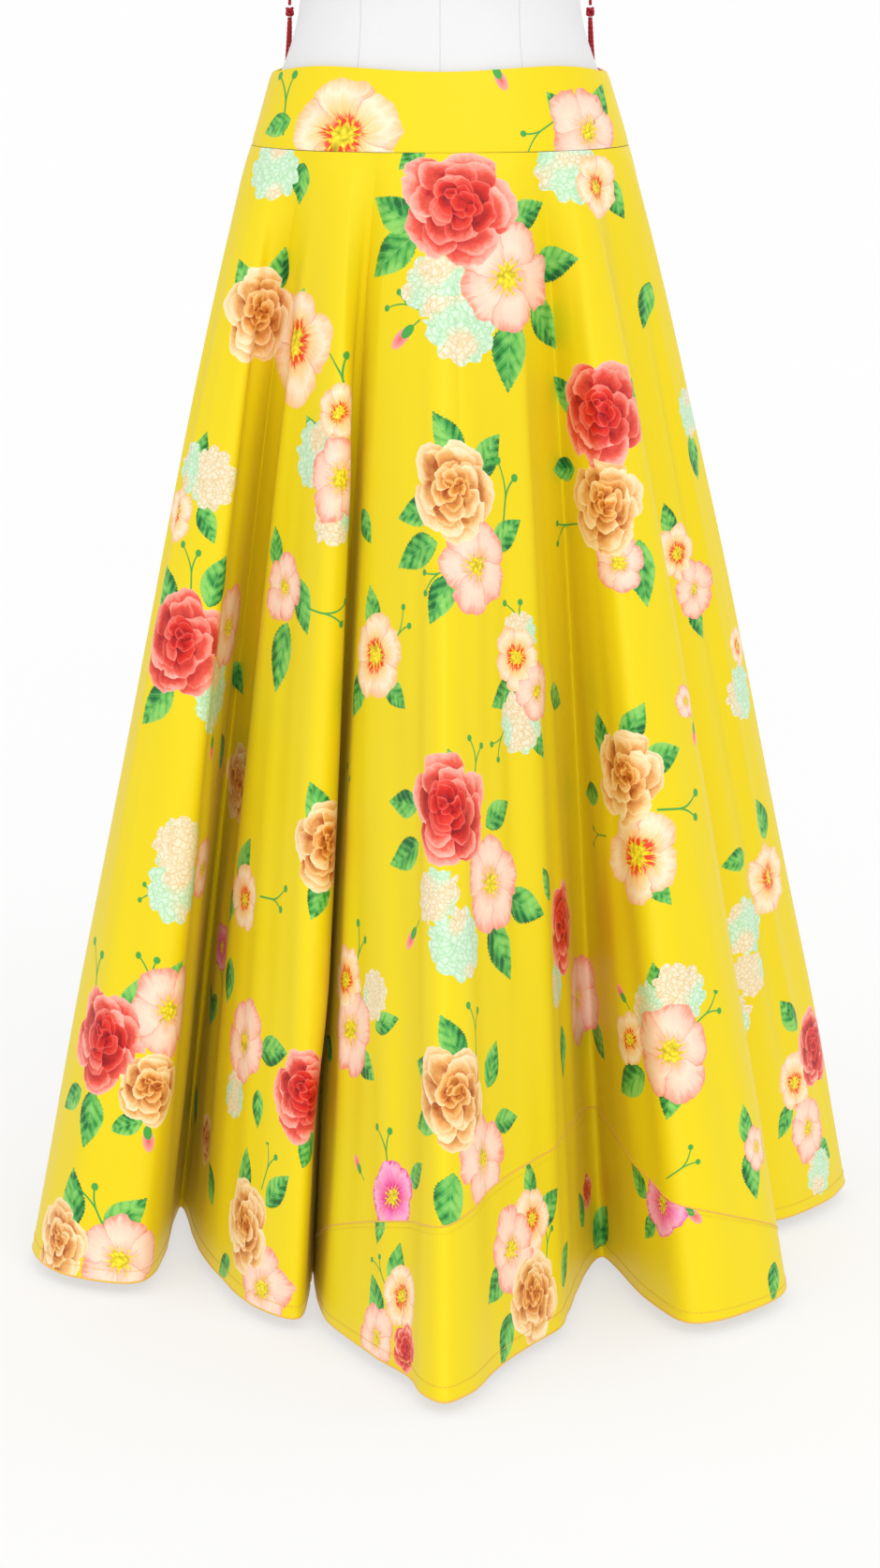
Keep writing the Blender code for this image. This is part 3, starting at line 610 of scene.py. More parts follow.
def steel_material():
    shop = Shop("brushed_steel")
    x, y, z = shop.split(shop.place())
    streak = shop.noise(shop.vector(x * 3.0, y * 3.0, z * 120.0), 20.0, 2.0)
    colour = shop.mix(streak, (0.46, 0.46, 0.47, 1.0), (0.60, 0.60, 0.60, 1.0))
    return shop.finish(colour, 0.30 + (streak - 0.5) * 0.2, metal=1.0, bump=streak,
                       lift=0.00004, strength=0.3)


# Finished objects

def placed(name, data):
    """A new object at the origin."""
    made = bpy.data.objects.new(name, data)
    bpy.context.scene.collection.objects.link(made)
    return made


def finished_mesh(made):
    """An object's mesh with its modifiers worked in."""
    bpy.context.view_layer.update()
    graph = bpy.context.evaluated_depsgraph_get()
    return bpy.data.meshes.new_from_object(made.evaluated_get(graph), depsgraph=graph,
                                           preserve_all_data_layers=True)


def apply_modifiers(made):
    mesh, old = finished_mesh(made), made.data
    made.modifiers.clear()
    made.data = mesh
    bpy.data.meshes.remove(old)
    return made


def dress(piece, node):
    """Ties a piece to the body, in place of a solid, which it hides."""
    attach(piece, ROOT)
    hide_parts(node)


# Cloth panels

def spline_point(p0, p1, p2, p3, share):
    """A smooth curve through four points, at a share of the way from p1 to p2."""
    knots = [0.0]
    for a, b in ((p0, p1), (p1, p2), (p2, p3)):
        knots.append(knots[-1] + max(sqrt((b - a).length), 1e-6))
    t = knots[1] + (knots[2] - knots[1]) * share

    def mix(a, b, ta, tb):
        return a * ((tb - t) / (tb - ta)) + b * ((t - ta) / (tb - ta))

    a1 = mix(p0, p1, knots[0], knots[1])
    a2 = mix(p1, p2, knots[1], knots[2])
    a3 = mix(p2, p3, knots[2], knots[3])
    b1, b2 = mix(a1, a2, knots[0], knots[2]), mix(a2, a3, knots[1], knots[3])
    return mix(b1, b2, knots[1], knots[2])


def hem_columns(step):
    """Hem points, their running lengths, their turns round the seam, and named marks."""
    points, turns, names = [], [], []
    for fold, tip_turn, valley_turn, first, tip, second, valley in FOLDS:
        points += [first, tip, second, valley]
        turns += [None, tip_turn, None, valley_turn]
        names += [None, fold + " tip", None, fold]
    start = names.index(LEFT_SEAM_FOLD)
    points = [Vector((x / 1000, y / 1000, HEM_Z)) for x, y in points[start:] + points[:start]]
    turns = [-90] + turns[start + 1:] + turns[:start]
    names = names[start:] + names[:start]
    count = len(points)
    columns, marks, anchors = [], {}, []
    for k in range(count):
        marks[names[k]] = len(columns)
        if turns[k] is not None:
            anchors.append((len(columns), turns[k]))
        around = [points[(k + n) % count] for n in (-1, 0, 1, 2)]
        steps = max(2, ceil((around[2] - around[1]).length / step))
        columns += [spline_point(*around, n / steps) for n in range(steps)]
    anchors.append((len(columns), 270))
    columns.append(columns[0].copy())
    hem = np.array(columns)
    lengths = np.concatenate([[0.0], np.cumsum(np.linalg.norm(np.diff(hem, axis=0), axis=1))])
    at, to = zip(*anchors)
    return hem, lengths, np.interp(lengths, lengths[list(at)], to), marks


def grid_normals(points):
    down = np.gradient(points, axis=0)
    across = np.gradient(points, axis=1)
    out = np.cross(down, across)
    return out / np.maximum(np.linalg.norm(out, axis=2, keepdims=True), 1e-9)


NO_MOTIF = 9.0         # a local place far outside any motif
FIRST_REACH = 1.45     # a motif takes a face only if it is nearer than this
STAMP_REACH = 1.5      # how far out a motif's coordinates are laid, of its radius


class Panel:
    """A piece of cloth as a grid, rows from the top down and columns across."""

    def __init__(self, name, points):
        self.name = name
        self.points = points
        self.normals = grid_normals(points)
        steps = np.linalg.norm(np.diff(points, axis=1), axis=2)
        self.across = np.pad(np.cumsum(steps, axis=1), ((0, 0), (1, 0)))
        steps = np.linalg.norm(np.diff(points, axis=0), axis=2)
        self.down = np.pad(np.cumsum(steps, axis=0), ((1, 0), (0, 0)))
        faces = points.shape[0] - 1, points.shape[1] - 1
        empty = np.array([NO_MOTIF, NO_MOTIF, 0.0], np.float32)
        self.near = {kind: np.full(faces, FIRST_REACH) for _, kind, _ in KINDS}
        self.local = {kind: np.tile(empty, (*faces, 4, 1)) for _, kind, _ in KINDS}
        self.middles = []

    def corners(self):
        rows, columns = self.points.shape[0] - 1, self.points.shape[1] - 1
        base = np.arange(rows)[:, None] * (columns + 1) + np.arange(columns)[None, :]
        return np.stack([base, base + columns + 1, base + columns + 2, base + 1], axis=-1)

    def tree(self):
        return BVHTree.FromPolygons(self.points.reshape(-1, 3).tolist(),
                                    self.corners().reshape(-1, 4).tolist())

    def place_of(self, face, spot):
        """Row and column, with fractions, of a spot on a face."""
        p = self.points
        i, j = divmod(face, p.shape[1] - 1)
        a, b, c = p[i, j], p[i, j + 1], p[i + 1, j]
        u = np.dot(spot - a, b - a) / max(np.dot(b - a, b - a), 1e-12)
        v = np.dot(spot - a, c - a) / max(np.dot(c - a, c - a), 1e-12)
        return i + min(max(v, 0.0), 1.0), j + min(max(u, 0.0), 1.0)

    def place_at(self, across, down):
        """Row and column at a length down the cloth and a length across it."""
        i = float(np.interp(down, self.down[:, self.points.shape[1] // 2],
                            np.arange(self.points.shape[0])))
        row = min(int(i), self.points.shape[0] - 1)
        return i, float(np.interp(across, self.across[row], np.arange(self.points.shape[1])))

    def stamp(self, kind, i, j, size, turn, tag):
        """Lays one motif on the cloth, in true lengths over the cloth."""
        p = self.points
        i0, j0 = min(int(i), p.shape[0] - 2), min(int(j), p.shape[1] - 2)
        fi, fj = i - i0, j - j0
        middle = p[i0, j0] * (1 - fi) * (1 - fj) + p[i0, j0 + 1] * (1 - fi) * fj \
            + p[i0 + 1, j0] * fi * (1 - fj) + p[i0 + 1, j0 + 1] * fi * fj
        row_way = p[i0, j0 + 1] - p[i0, j0]
        down_way = p[i0 + 1, j0] - p[i0, j0]
        lean = np.dot(row_way, down_way) / (np.linalg.norm(row_way) * np.linalg.norm(down_way))
        reach = size * STAMP_REACH
        falls = self.down[:, j0] * (1 - fj) + self.down[:, j0 + 1] * fj
        fall = falls - (falls[i0] * (1 - fi) + falls[i0 + 1] * fi)
        rows = np.where(np.abs(fall) <= reach)[0]
        if not len(rows):
            return
        r0, r1 = rows[0], rows[-1] + 1
        here = self.across[r0:r1, j0] * (1 - fj) + self.across[r0:r1, j0 + 1] * fj
        x = self.across[r0:r1] - here[:, None] + lean * fall[r0:r1, None]
        # y falls with the rows alone, and is spread over the columns
        y = -fall[r0:r1, None] * sqrt(max(1 - lean * lean, 0.05)) + 0.0 * x
        columns = np.where((np.abs(x) <= reach).any(axis=0))[0]
        if len(columns) < 2 or r1 - r0 < 2:
            return
        c0, c1 = columns[0], columns[-1] + 1
        x, y = x[:, c0:c1] / size, y[:, c0:c1] / size
        turned = x * cos(turn) + y * sin(turn), y * cos(turn) - x * sin(turn)
        quads = [np.stack([w[:-1, :-1], w[1:, :-1], w[1:, 1:], w[:-1, 1:]], axis=-1)
                 for w in turned]
        away = np.hypot(quads[0].mean(axis=-1), quads[1].mean(axis=-1))
        old = self.near[kind][r0:r1 - 1, c0:c1 - 1]
        closer = away < old
        old[closer] = away[closer]
        into = self.local[kind][r0:r1 - 1, c0:c1 - 1]
        tags = np.full_like(quads[0], tag)
        into[closer] = np.stack([*quads, tags], axis=-1)[closer]
        self.middles.append((middle, size))

    def groups(self):
        """The groups of motifs that each face carries, as a number."""
        found = 0
        for group, kind, _ in KINDS:
            x, y = self.local[kind][..., 0], self.local[kind][..., 1]
            near = np.hypot(x, y).min(axis=-1) < MOTIF_REACH
            found = found | (near.astype(int) << GROUPS.index(group))
        return found.ravel()

    def mesh(self, satins, wall):
        """The finished cloth. New mixes of motifs add their satin to satins."""
        mesh = bpy.data.meshes.new(self.name)
        corners = self.corners().reshape(-1, 4)
        mesh.from_pydata(self.points.reshape(-1, 3).tolist(), [], corners.tolist())
        for _, kind, _ in KINDS:
            layer = mesh.attributes.new(kind, "FLOAT_VECTOR", "CORNER")
            layer.data.foreach_set("vector", self.local[kind].astype(np.float32).ravel())
        cloth = np.stack([self.across, self.down, 0 * self.down], axis=-1)
        layer = mesh.attributes.new("cloth", "FLOAT_VECTOR", "POINT")
        layer.data.foreach_set("vector", cloth.astype(np.float32).ravel())
        mesh.shade_smooth()
        numbers, slots = np.unique(self.groups(), return_inverse=True)
        for number in numbers:
            number = int(number)
            if number not in satins:
                satins[number] = satin_material(tuple(
                    group for k, group in enumerate(GROUPS) if number >> k & 1))
            mesh.materials.append(satins[number])
        mesh.polygons.foreach_set("material_index", slots.ravel().astype(np.int32))
        made = placed(self.name, mesh)
        thick = made.modifiers.new("wall", "SOLIDIFY")
        thick.thickness = wall
        thick.offset = 0.0
        apply_modifiers(made).data.set_sharp_from_angle(angle=SHARP_EDGE)
        return made


def corner_height(along):
    """The pieced corner's height above the hem: a straight cut across the half circle."""
    turn = (along - CORNER_CENTRE) / HEM_RADIUS
    return HEM_RADIUS - (HEM_RADIUS - CORNER_SAGITTA) / np.cos(turn)


def skirt_grids():
    """Points of the front panel, the pieced corner and the back panel."""
    hem, lengths, turns, marks = hem_columns(SKIRT_COLUMN)
    seam_at = marks[RIGHT_SEAM_FOLD]
    drop = SEAM_Z - HEM_Z
    radian = np.radians(turns)
    wide, deep = SEAM_SIZE
    out = np.stack([np.sin(radian) / wide, -np.cos(radian) / deep], axis=1)
    out /= np.linalg.norm(out, axis=1, keepdims=True)
    top = np.stack([wide * np.sin(radian), -deep * np.cos(radian)], axis=1) - out * SKIRT_WALL / 2

    def surface(shares):
        """Cloth at these shares of the fall, rows by all the columns round the skirt."""
        spring = shares + HIP_SPRING * np.sin(np.pi * np.sqrt(shares))
        flat = top[None] + (hem[None, :, :2] - top[None]) * spring[..., None]
        level = SEAM_Z - SEAM_GAP - (drop - SEAM_GAP) * shares
        points = np.concatenate([flat, level[..., None]], axis=2)
        ring = np.concatenate([points[:, -2:-1], points, points[:, 1:2]], axis=1)
        across = ring[:, 2:] - ring[:, :-2]
        down = np.gradient(points, axis=0)
        normal = np.cross(down, across)
        normal /= np.maximum(np.linalg.norm(normal, axis=2, keepdims=True), 1e-9)
        relief = np.zeros(shares.shape)
        for turn, width, start, end, depth in CREASES:
            away = np.abs((turns - turn + 180) % 360 - 180) / width
            ease = np.clip((shares - start) / CREASE_STARTS_OVER, 0, 1) \
                * np.clip((end - shares) / CREASE_ENDS_OVER, 0, 1)
            ease = ease * ease * (3 - 2 * ease)
            relief += depth * np.exp(-away ** 2)[None] * ease
        run = lengths[None] + 0.0 * shares
        fades = np.clip(shares * 2.0 - 0.5, 0, 1), np.clip((1 - shares) * 6 + 0.3, 0, 1)
        for wave, phase, tall in WAVES:
            sway = np.sin(2 * np.pi * run / wave + phase + 2.2 * np.sin(5.0 * shares + phase * 3))
            relief += tall * sway * fades[0] * fades[1]
        edges = np.clip(shares / EDGE_FADES[0], 0, 1)
        seam_fade = np.ones(len(turns))
        for place in (0, seam_at, len(turns) - 1):
            from_seam = np.abs(lengths - lengths[place])
            seam_fade = np.minimum(seam_fade, np.clip(from_seam / SEAM_FADE, 0, 1))
        normal[..., 2] *= edges * np.clip((1 - shares) / EDGE_FADES[1], 0, 1)
        return points + normal * (relief * edges * seam_fade[None])[..., None]

    along = lengths - lengths[marks["front tip"]]
    height = corner_height(along)
    inside = (height > CORNER_LEAST) & (np.abs(along - CORNER_CENTRE) < HEM_RADIUS)
    inside &= np.arange(len(along)) <= seam_at
    low = np.where(inside, 1.0 - height / drop, 1.0)
    steps = np.linspace(0.0, 1.0, SKIRT_ROWS + 1)
    edge = np.where(inside, SEAM_GAP / drop, 0.0)
    body = surface(steps[:, None] * (low - edge)[None])
    first, last = np.where(inside)[0][[0, -1]]
    corner_steps = np.linspace(0.0, 1.0, CORNER_ROWS + 1)
    piece = surface(low[None] + (1.0 - low)[None] * corner_steps[:, None])
    return body[:, :seam_at + 1], piece[:, first:last + 1], body[:, seam_at:]


def band_size(level):
    """Half the band's width and depth at a level."""
    share = (BAND_TOP_Z - level) / (BAND_TOP_Z - SEAM_Z)
    return [t + (s - t) * share for t, s in zip(BAND_TOP_SIZE, SEAM_SIZE)]


def band_grid(start):
    """Half of the band, from the side seam at the turn that is given."""
    count = int(round(pi * BAND_RADIUS / BAND_COLUMN))
    turn = start + BAND_SEAM_TURN + (pi - 2 * BAND_SEAM_TURN) * np.linspace(0, 1, count + 1)
    rise, dip = BAND_FRONT_RISE * np.sin(2 * turn) ** 2, BAND_SIDE_DIP * np.sin(turn) ** 6
    high = BAND_TOP_Z + rise - dip
    rows = np.linspace(0, 1, BAND_ROWS + 1)[:, None]
    level = high[None] + (SEAM_Z + 0.0002 - high[None]) * rows
    wide, deep = band_size(level)
    out = np.stack([np.sin(turn) / SEAM_SIZE[0], -np.cos(turn) / SEAM_SIZE[1]], axis=1)
    out /= np.linalg.norm(out, axis=1, keepdims=True)
    # The upper and lower edges roll in a little where the two layers are turned
    roll = BAND_INSET * (np.exp(-rows / 0.05) + np.exp(-(1 - rows) / 0.05))
    inset = BAND_INSET + roll + 0.0002 * np.sin(turn * 9 + rows * 4)
    x = wide * np.sin(turn) - out[:, 0] * inset
    y = -deep * np.cos(turn) - out[:, 1] * inset
    return np.stack([x, y, level], axis=2)


# Where each motif of the print lies, by its pixel in the photograph. Sizes
# are the motif's radius in millimetres. Leaves, sprigs and buds point at an
# angle, in degrees, 0 to the right and 90 up.
# kinds: red, peach, pink, cream, magenta, lace, mint, leaf, sprig, bud
PRINT = (
    ("cream", 366, 147, 46), ("sprig", 306, 110, 22, 105), ("leaf", 296, 135, 14, 200),
    ("leaf", 562, 72, 15, 0), ("bud", 532, 80, 14, 290), ("pink", 628, 140, 36),
    ("leaf", 598, 117, 15, 130), ("leaf", 640, 112, 17, 60), ("sprig", 577, 140, 16, 200),
    ("mint", 292, 178, 26), ("leaf", 322, 196, 14, 260), ("mint", 608, 180, 28),
    ("cream", 636, 200, 24), ("leaf", 656, 212, 16, 300), ("leaf", 440, 168, 12, 230),
    ("red", 490, 222, 50), ("pink", 541, 296, 44), ("lace", 462, 304, 26),
    ("mint", 492, 348, 30), ("leaf", 422, 228, 20, 150), ("leaf", 420, 272, 22, 215),
    ("leaf", 562, 228, 17, 20), ("leaf", 590, 280, 20, 20), ("leaf", 580, 345, 22, 310),
    ("leaf", 543, 380, 24, 255), ("bud", 434, 356, 18, 215), ("sprig", 438, 326, 16, 150),
    ("peach", 276, 338, 42), ("cream", 315, 366, 44), ("leaf", 318, 330, 16, 60),
    ("leaf", 262, 300, 16, 120), ("leaf", 300, 288, 16, 80),
    ("cream", 362, 440, 22), ("mint", 336, 486, 27), ("pink", 364, 512, 34),
    ("lace", 356, 552, 22), ("leaf", 334, 462, 14, 130), ("sprig", 366, 405, 20, 90),
    ("leaf", 392, 562, 14, 300),
    ("mint", 200, 500, 22), ("cream", 190, 547, 24), ("lace", 226, 512, 24),
    ("leaf", 215, 482, 14, 70), ("leaf", 222, 560, 14, 300),
    ("red", 193, 688, 46), ("pink", 243, 668, 34), ("mint", 228, 742, 30),
    ("leaf", 180, 630, 18, 110), ("leaf", 232, 620, 18, 70), ("leaf", 168, 752, 20, 230),
    ("bud", 226, 795, 14, 270), ("leaf", 254, 722, 16, 320), ("sprig", 205, 612, 18, 90),
    ("pink", 304, 628, 28), ("leaf", 324, 648, 20, 300), ("leaf", 300, 702, 24, 262),
    ("sprig", 346, 655, 18, 0), ("leaf", 296, 584, 14, 100),
    ("peach", 487, 525, 44), ("pink", 508, 604, 36), ("leaf", 480, 466, 18, 110),
    ("leaf", 520, 486, 18, 45), ("leaf", 446, 546, 18, 190), ("leaf", 446, 590, 20, 200),
    ("leaf", 540, 570, 16, 30), ("leaf", 470, 640, 18, 240), ("sprig", 540, 532, 20, 60),
    ("sprig", 470, 612, 16, 200),
    ("red", 640, 445, 46), ("peach", 642, 540, 42), ("pink", 660, 600, 24),
    ("leaf", 604, 420, 16, 140), ("leaf", 676, 416, 15, 50), ("leaf", 684, 612, 22, 285),
    ("leaf", 602, 500, 14, 190), ("sprig", 606, 560, 16, 200), ("leaf", 688, 326, 16, 250),
    ("mint", 734, 440, 20), ("leaf", 740, 488, 16, 280), ("cream", 722, 590, 22),
    ("pink", 741, 628, 24), ("leaf", 744, 660, 16, 290), ("leaf", 712, 556, 13, 110),
    ("cream", 402, 700, 32), ("leaf", 398, 650, 16, 90), ("leaf", 384, 742, 18, 230),
    ("sprig", 426, 678, 16, 40), ("leaf", 424, 742, 14, 320),
    ("cream", 552, 702, 24), ("pink", 574, 738, 24), ("lace", 556, 678, 18),
    ("mint", 556, 772, 24), ("leaf", 538, 742, 18, 190), ("leaf", 592, 744, 16, 340),
    ("sprig", 556, 664, 16, 100), ("sprig", 536, 786, 15, 220), ("leaf", 576, 794, 13, 300),
    ("mint", 790, 738, 24), ("cream", 786, 690, 16), ("pink", 731, 748, 14),
    ("bud", 740, 778, 13, 270),
    ("peach", 256, 838, 36), ("leaf", 236, 800, 16, 120), ("peach", 352, 905, 40),
    ("leaf", 340, 862, 18, 110), ("leaf", 330, 905, 14, 190), ("leaf", 342, 958, 16, 250),
    ("sprig", 372, 848, 16, 60), ("lace", 194, 905, 24), ("mint", 190, 950, 26),
    ("pink", 216, 928, 26), ("sprig", 168, 955, 14, 180), ("cream", 262, 960, 26),
    ("leaf", 262, 918, 18, 60), ("leaf", 248, 968, 14, 250), ("sprig", 292, 960, 18, 0),
    ("red", 484, 868, 46), ("pink", 524, 944, 38), ("lace", 464, 958, 22),
    ("mint", 492, 1008, 28), ("leaf", 432, 858, 16, 170), ("leaf", 434, 914, 18, 200),
    ("leaf", 532, 868, 16, 15), ("leaf", 560, 968, 20, 330), ("leaf", 536, 1016, 22, 290),
    ("bud", 442, 998, 15, 225), ("leaf", 488, 822, 14, 90), ("sprig", 508, 816, 16, 70),
    ("magenta", 238, 1012, 20), ("leaf", 246, 1048, 16, 270), ("leaf", 228, 1078, 14, 240),
    ("peach", 664, 828, 42), ("cream", 680, 912, 38), ("leaf", 642, 782, 16, 120),
    ("leaf", 676, 772, 16, 70), ("leaf", 706, 808, 18, 30), ("leaf", 632, 846, 14, 200),
    ("sprig", 724, 862, 20, 20), ("sprig", 640, 890, 14, 200), ("leaf", 702, 950, 13, 320),
    ("red", 600, 990, 40), ("pink", 616, 1068, 38), ("mint", 594, 1050, 20),
    ("leaf", 600, 1124, 18, 260), ("leaf", 640, 1110, 16, 320), ("leaf", 584, 944, 14, 120),
    ("cream", 820, 936, 28), ("leaf", 812, 872, 16, 110), ("red", 832, 880, 14),
    ("mint", 798, 988, 24), ("lace", 800, 1038, 20), ("leaf", 786, 918, 14, 190),
    ("sprig", 846, 908, 14, 40),
    ("red", 108, 1112, 46), ("pink", 182, 1080, 38), ("peach", 162, 1164, 34),
    ("leaf", 146, 1068, 20, 65), ("leaf", 78, 1172, 16, 215), ("leaf", 96, 1196, 20, 265),
    ("bud", 158, 1212, 15, 275), ("sprig", 104, 1044, 22, 90), ("sprig", 162, 1048, 18, 100),
    ("leaf", 134, 1202, 13, 200), ("leaf", 186, 1044, 14, 60),
    ("pink", 262, 1112, 36), ("leaf", 226, 1072, 16, 130), ("leaf", 292, 1122, 18, 10),
    ("mint", 252, 1168, 20), ("sprig", 238, 1050, 16, 110), ("leaf", 276, 1184, 13, 280),
    ("pink", 376, 1100, 36), ("cream", 370, 1046, 28), ("lace", 400, 1062, 20),
    ("red", 327, 1172, 40), ("sprig", 384, 1022, 20, 60), ("leaf", 392, 1138, 16, 320),
    ("leaf", 330, 1226, 14, 250), ("leaf", 412, 1092, 13, 10), ("leaf", 352, 1118, 14, 140),
    ("lace", 726, 1062, 26), ("pink", 716, 1122, 38), ("mint", 690, 1078, 24),
    ("cream", 672, 1108, 22), ("leaf", 672, 1152, 20, 225), ("leaf", 716, 1166, 18, 280),
    ("sprig", 752, 1082, 16, 40), ("leaf", 698, 1048, 14, 110), ("bud", 664, 1062, 12, 150),
    ("red", 866, 1118, 36), ("cream", 846, 1156, 24), ("pink", 862, 1204, 28),
    ("mint", 874, 1250, 20), ("leaf", 842, 1084, 16, 130), ("leaf", 872, 1066, 14, 80),
    ("leaf", 838, 1196, 14, 230), ("leaf", 880, 1226, 13, 320),
    ("peach", 488, 1172, 44), ("pink", 516, 1240, 36), ("leaf", 484, 1112, 18, 100),
    ("leaf", 454, 1142, 16, 160), ("leaf", 456, 1196, 18, 200), ("leaf", 526, 1136, 16, 50),
    ("leaf", 482, 1288, 20, 250), ("sprig", 508, 1104, 18, 75), ("leaf", 540, 1196, 14, 350),
    ("magenta", 420, 1278, 26), ("sprig", 414, 1232, 18, 95), ("leaf", 446, 1254, 14, 30),
    ("leaf", 406, 1310, 12, 250), ("bud", 384, 1246, 13, 130),
    ("magenta", 708, 1284, 26), ("leaf", 682, 1258, 14, 150), ("bud", 736, 1294, 13, 330),
    ("sprig", 726, 1246, 14, 60), ("leaf", 694, 1310, 12, 240),
    ("peach", 222, 1218, 24), ("leaf", 210, 1180, 14, 110), ("peach", 262, 1308, 42),
    ("pink", 280, 1376, 34), ("leaf", 262, 1252, 18, 90), ("leaf", 226, 1262, 16, 130),
    ("leaf", 296, 1270, 16, 50), ("sprig", 286, 1248, 16, 70), ("leaf", 240, 1352, 14, 220),
    ("peach", 62, 1326, 38), ("pink", 128, 1346, 36), ("leaf", 78, 1278, 20, 100),
    ("leaf", 134, 1300, 20, 40), ("sprig", 104, 1292, 20, 110), ("leaf", 36, 1290, 16, 120),
    ("cream", 568, 1302, 26), ("leaf", 586, 1288, 18, 30), ("leaf", 566, 1262, 14, 90),
    ("leaf", 802, 1250, 18, 290), ("pink", 806, 1222, 18), ("leaf", 796, 1200, 14, 110),
)
# The same on the pieced corner, whose own print is cut at its seam
CORNER_PRINT = (
    ("cream", 430, 1384, 24), ("pink", 402, 1428, 26), ("red", 434, 1440, 20),
    ("leaf", 402, 1388, 18, 110), ("leaf", 424, 1352, 16, 80), ("sprig", 408, 1360, 14, 120),
    ("pink", 546, 1336, 34), ("peach", 570, 1386, 40), ("leaf", 530, 1372, 18, 200),
    ("leaf", 602, 1348, 18, 40), ("leaf", 540, 1432, 18, 235), ("sprig", 584, 1330, 16, 60),
    ("leaf", 644, 1306, 20, 60), ("leaf", 620, 1290, 16, 120), ("red", 626, 1272, 16),
    ("leaf", 826, 1368, 14, 250),
)
RECIPES = {
    # attribute choices in turn, variety, drawn radius against the table's
    "red": (("rose",), 0, 1.04), "peach": (("rose",), 1, 1.0),
    "pink": (("bloom_high", "bloom_low"), 0, 1.10),
    "cream": (("bloom_low", "bloom_high"), 1, 1.14),
    "magenta": (("bloom_high", "bloom_low"), 2, 1.12),
    "lace": (("cluster",), 0, 1.22), "mint": (("cluster",), 1, 1.22),
    "leaf": (("leaf_low", "leaf_high"), 0, 1.32), "sprig": (("sprig",), 0, 1.35),
    "bud": (("sprig",), 1, 1.25),
}
# Sprays for the cloth that the photograph doesn't show.
# columns: kind, millimetres right, millimetres up, radius, and an angle
SPRAYS = (
    (("red", -8, 24, 48), ("pink", 34, -34, 42), ("lace", -34, -36, 26),
     ("mint", -6, -70, 28), ("leaf", -62, 22, 20, 160), ("leaf", -62, -12, 20, 210),
     ("leaf", 52, 26, 18, 20), ("leaf", 64, -72, 22, 310), ("leaf", 28, -98, 24, 262),
     ("bud", -54, -66, 17, 220), ("sprig", -14, 86, 20, 90)),
    (("peach", -2, 30, 43), ("pink", 16, -34, 36), ("leaf", -8, 80, 18, 110),
     ("leaf", 28, 64, 18, 45), ("leaf", -38, 12, 18, 190), ("leaf", -36, -26, 20, 205),
     ("leaf", 42, -8, 16, 20), ("leaf", -14, -64, 18, 240), ("sprig", 46, 26, 20, 50)),
    (("cream", 0, 0, 36), ("lace", 30, 30, 24), ("mint", -30, 18, 26),
     ("leaf", -34, -22, 18, 220), ("leaf", 36, -14, 17, 340), ("sprig", 0, 56, 18, 90),
     ("leaf", 6, 42, 14, 80)),
    (("red", 0, 36, 44), ("peach", 4, -38, 40), ("leaf", -38, 58, 16, 140),
     ("leaf", 38, 62, 16, 50), ("leaf", 34, -78, 20, 290), ("leaf", -40, -6, 16, 190),
     ("sprig", -38, -50, 16, 210)),
    (("magenta", 0, 0, 25), ("leaf", -22, 20, 14, 140), ("leaf", 26, 12, 14, 30),
     ("bud", 26, -18, 13, 320), ("sprig", -4, 34, 16, 95)),
)
SMALL_SPRAYS = (SPRAYS[2], SPRAYS[4])
SPRAY_ACROSS = 0.190   # steps of the half-drop lattice
SPRAY_DOWN = 0.160
SPRAY_DRIFT = (0.026, 0.022)       # how far a spray strays from it
SPRAY_MARGIN = 0.004   # its motifs keep this far from the cloth's edges
# The larger sprays first, then small ones in the gaps that are left.
# columns: sprays, how far down their first row lies, clear distance, numbers on
ROUNDS = ((SPRAYS, 0.07, 0.062, 0), (SMALL_SPRAYS, 0.15, 0.055, 3000))


def seed_of(count):
    """A fixed number from 0.05 to 0.9 for a motif."""
    return 0.05 + 0.85 * ((count * 0.6180339887 + 0.21) % 1.0)


def stamp(panel, kind, i, j, count, radius, angle=90):
    """One motif of the tables, radius in millimetres and angle in degrees."""
    choices, variety, drawn = RECIPES[kind]
    # A leaf is drawn pointing to the right, and every other motif upright
    turn = radians(angle - (0 if kind == "leaf" else 90))
    panel.stamp(choices[count % len(choices)], i, j, radius * drawn / 1000.0, turn,
                variety + seed_of(count))


SAME_SPOT = 0.008      # a line of sight that ends this near a spot has met it


def first_met(trees, origin, way):
    """Distance, panel name, face and spot of the first cloth on a line."""
    best = None
    for name, tree in trees.items():
        spot, _, face, far = tree.ray_cast(origin, way)
        if spot is not None and (best is None or far < best[0]):
            best = (far, name, face, spot)
    return best


def shows(trees, spot):
    """Whether the photograph shows this spot of the cloth, or one close in front."""
    origin = Vector(CAMERA_PLACE)
    way = Vector(spot) - origin
    best = first_met(trees, origin, way.normalized())
    return best is None or best[0] > way.length - SAME_SPOT


def print_by_photo(panels, trees, table, only=None):
    """Motifs where the photograph shows them, on one panel alone if it is named."""
    for count, (kind, x, y, radius, *angle) in enumerate(table):
        best = first_met(trees, *photo_ray(x, y))
        if best is None or (only and best[1] != only):
            continue
        panel = panels[best[1]]
        i, j = panel.place_of(best[2], np.array(best[3]))
        stamp(panel, kind, i, j, count, radius, *angle)


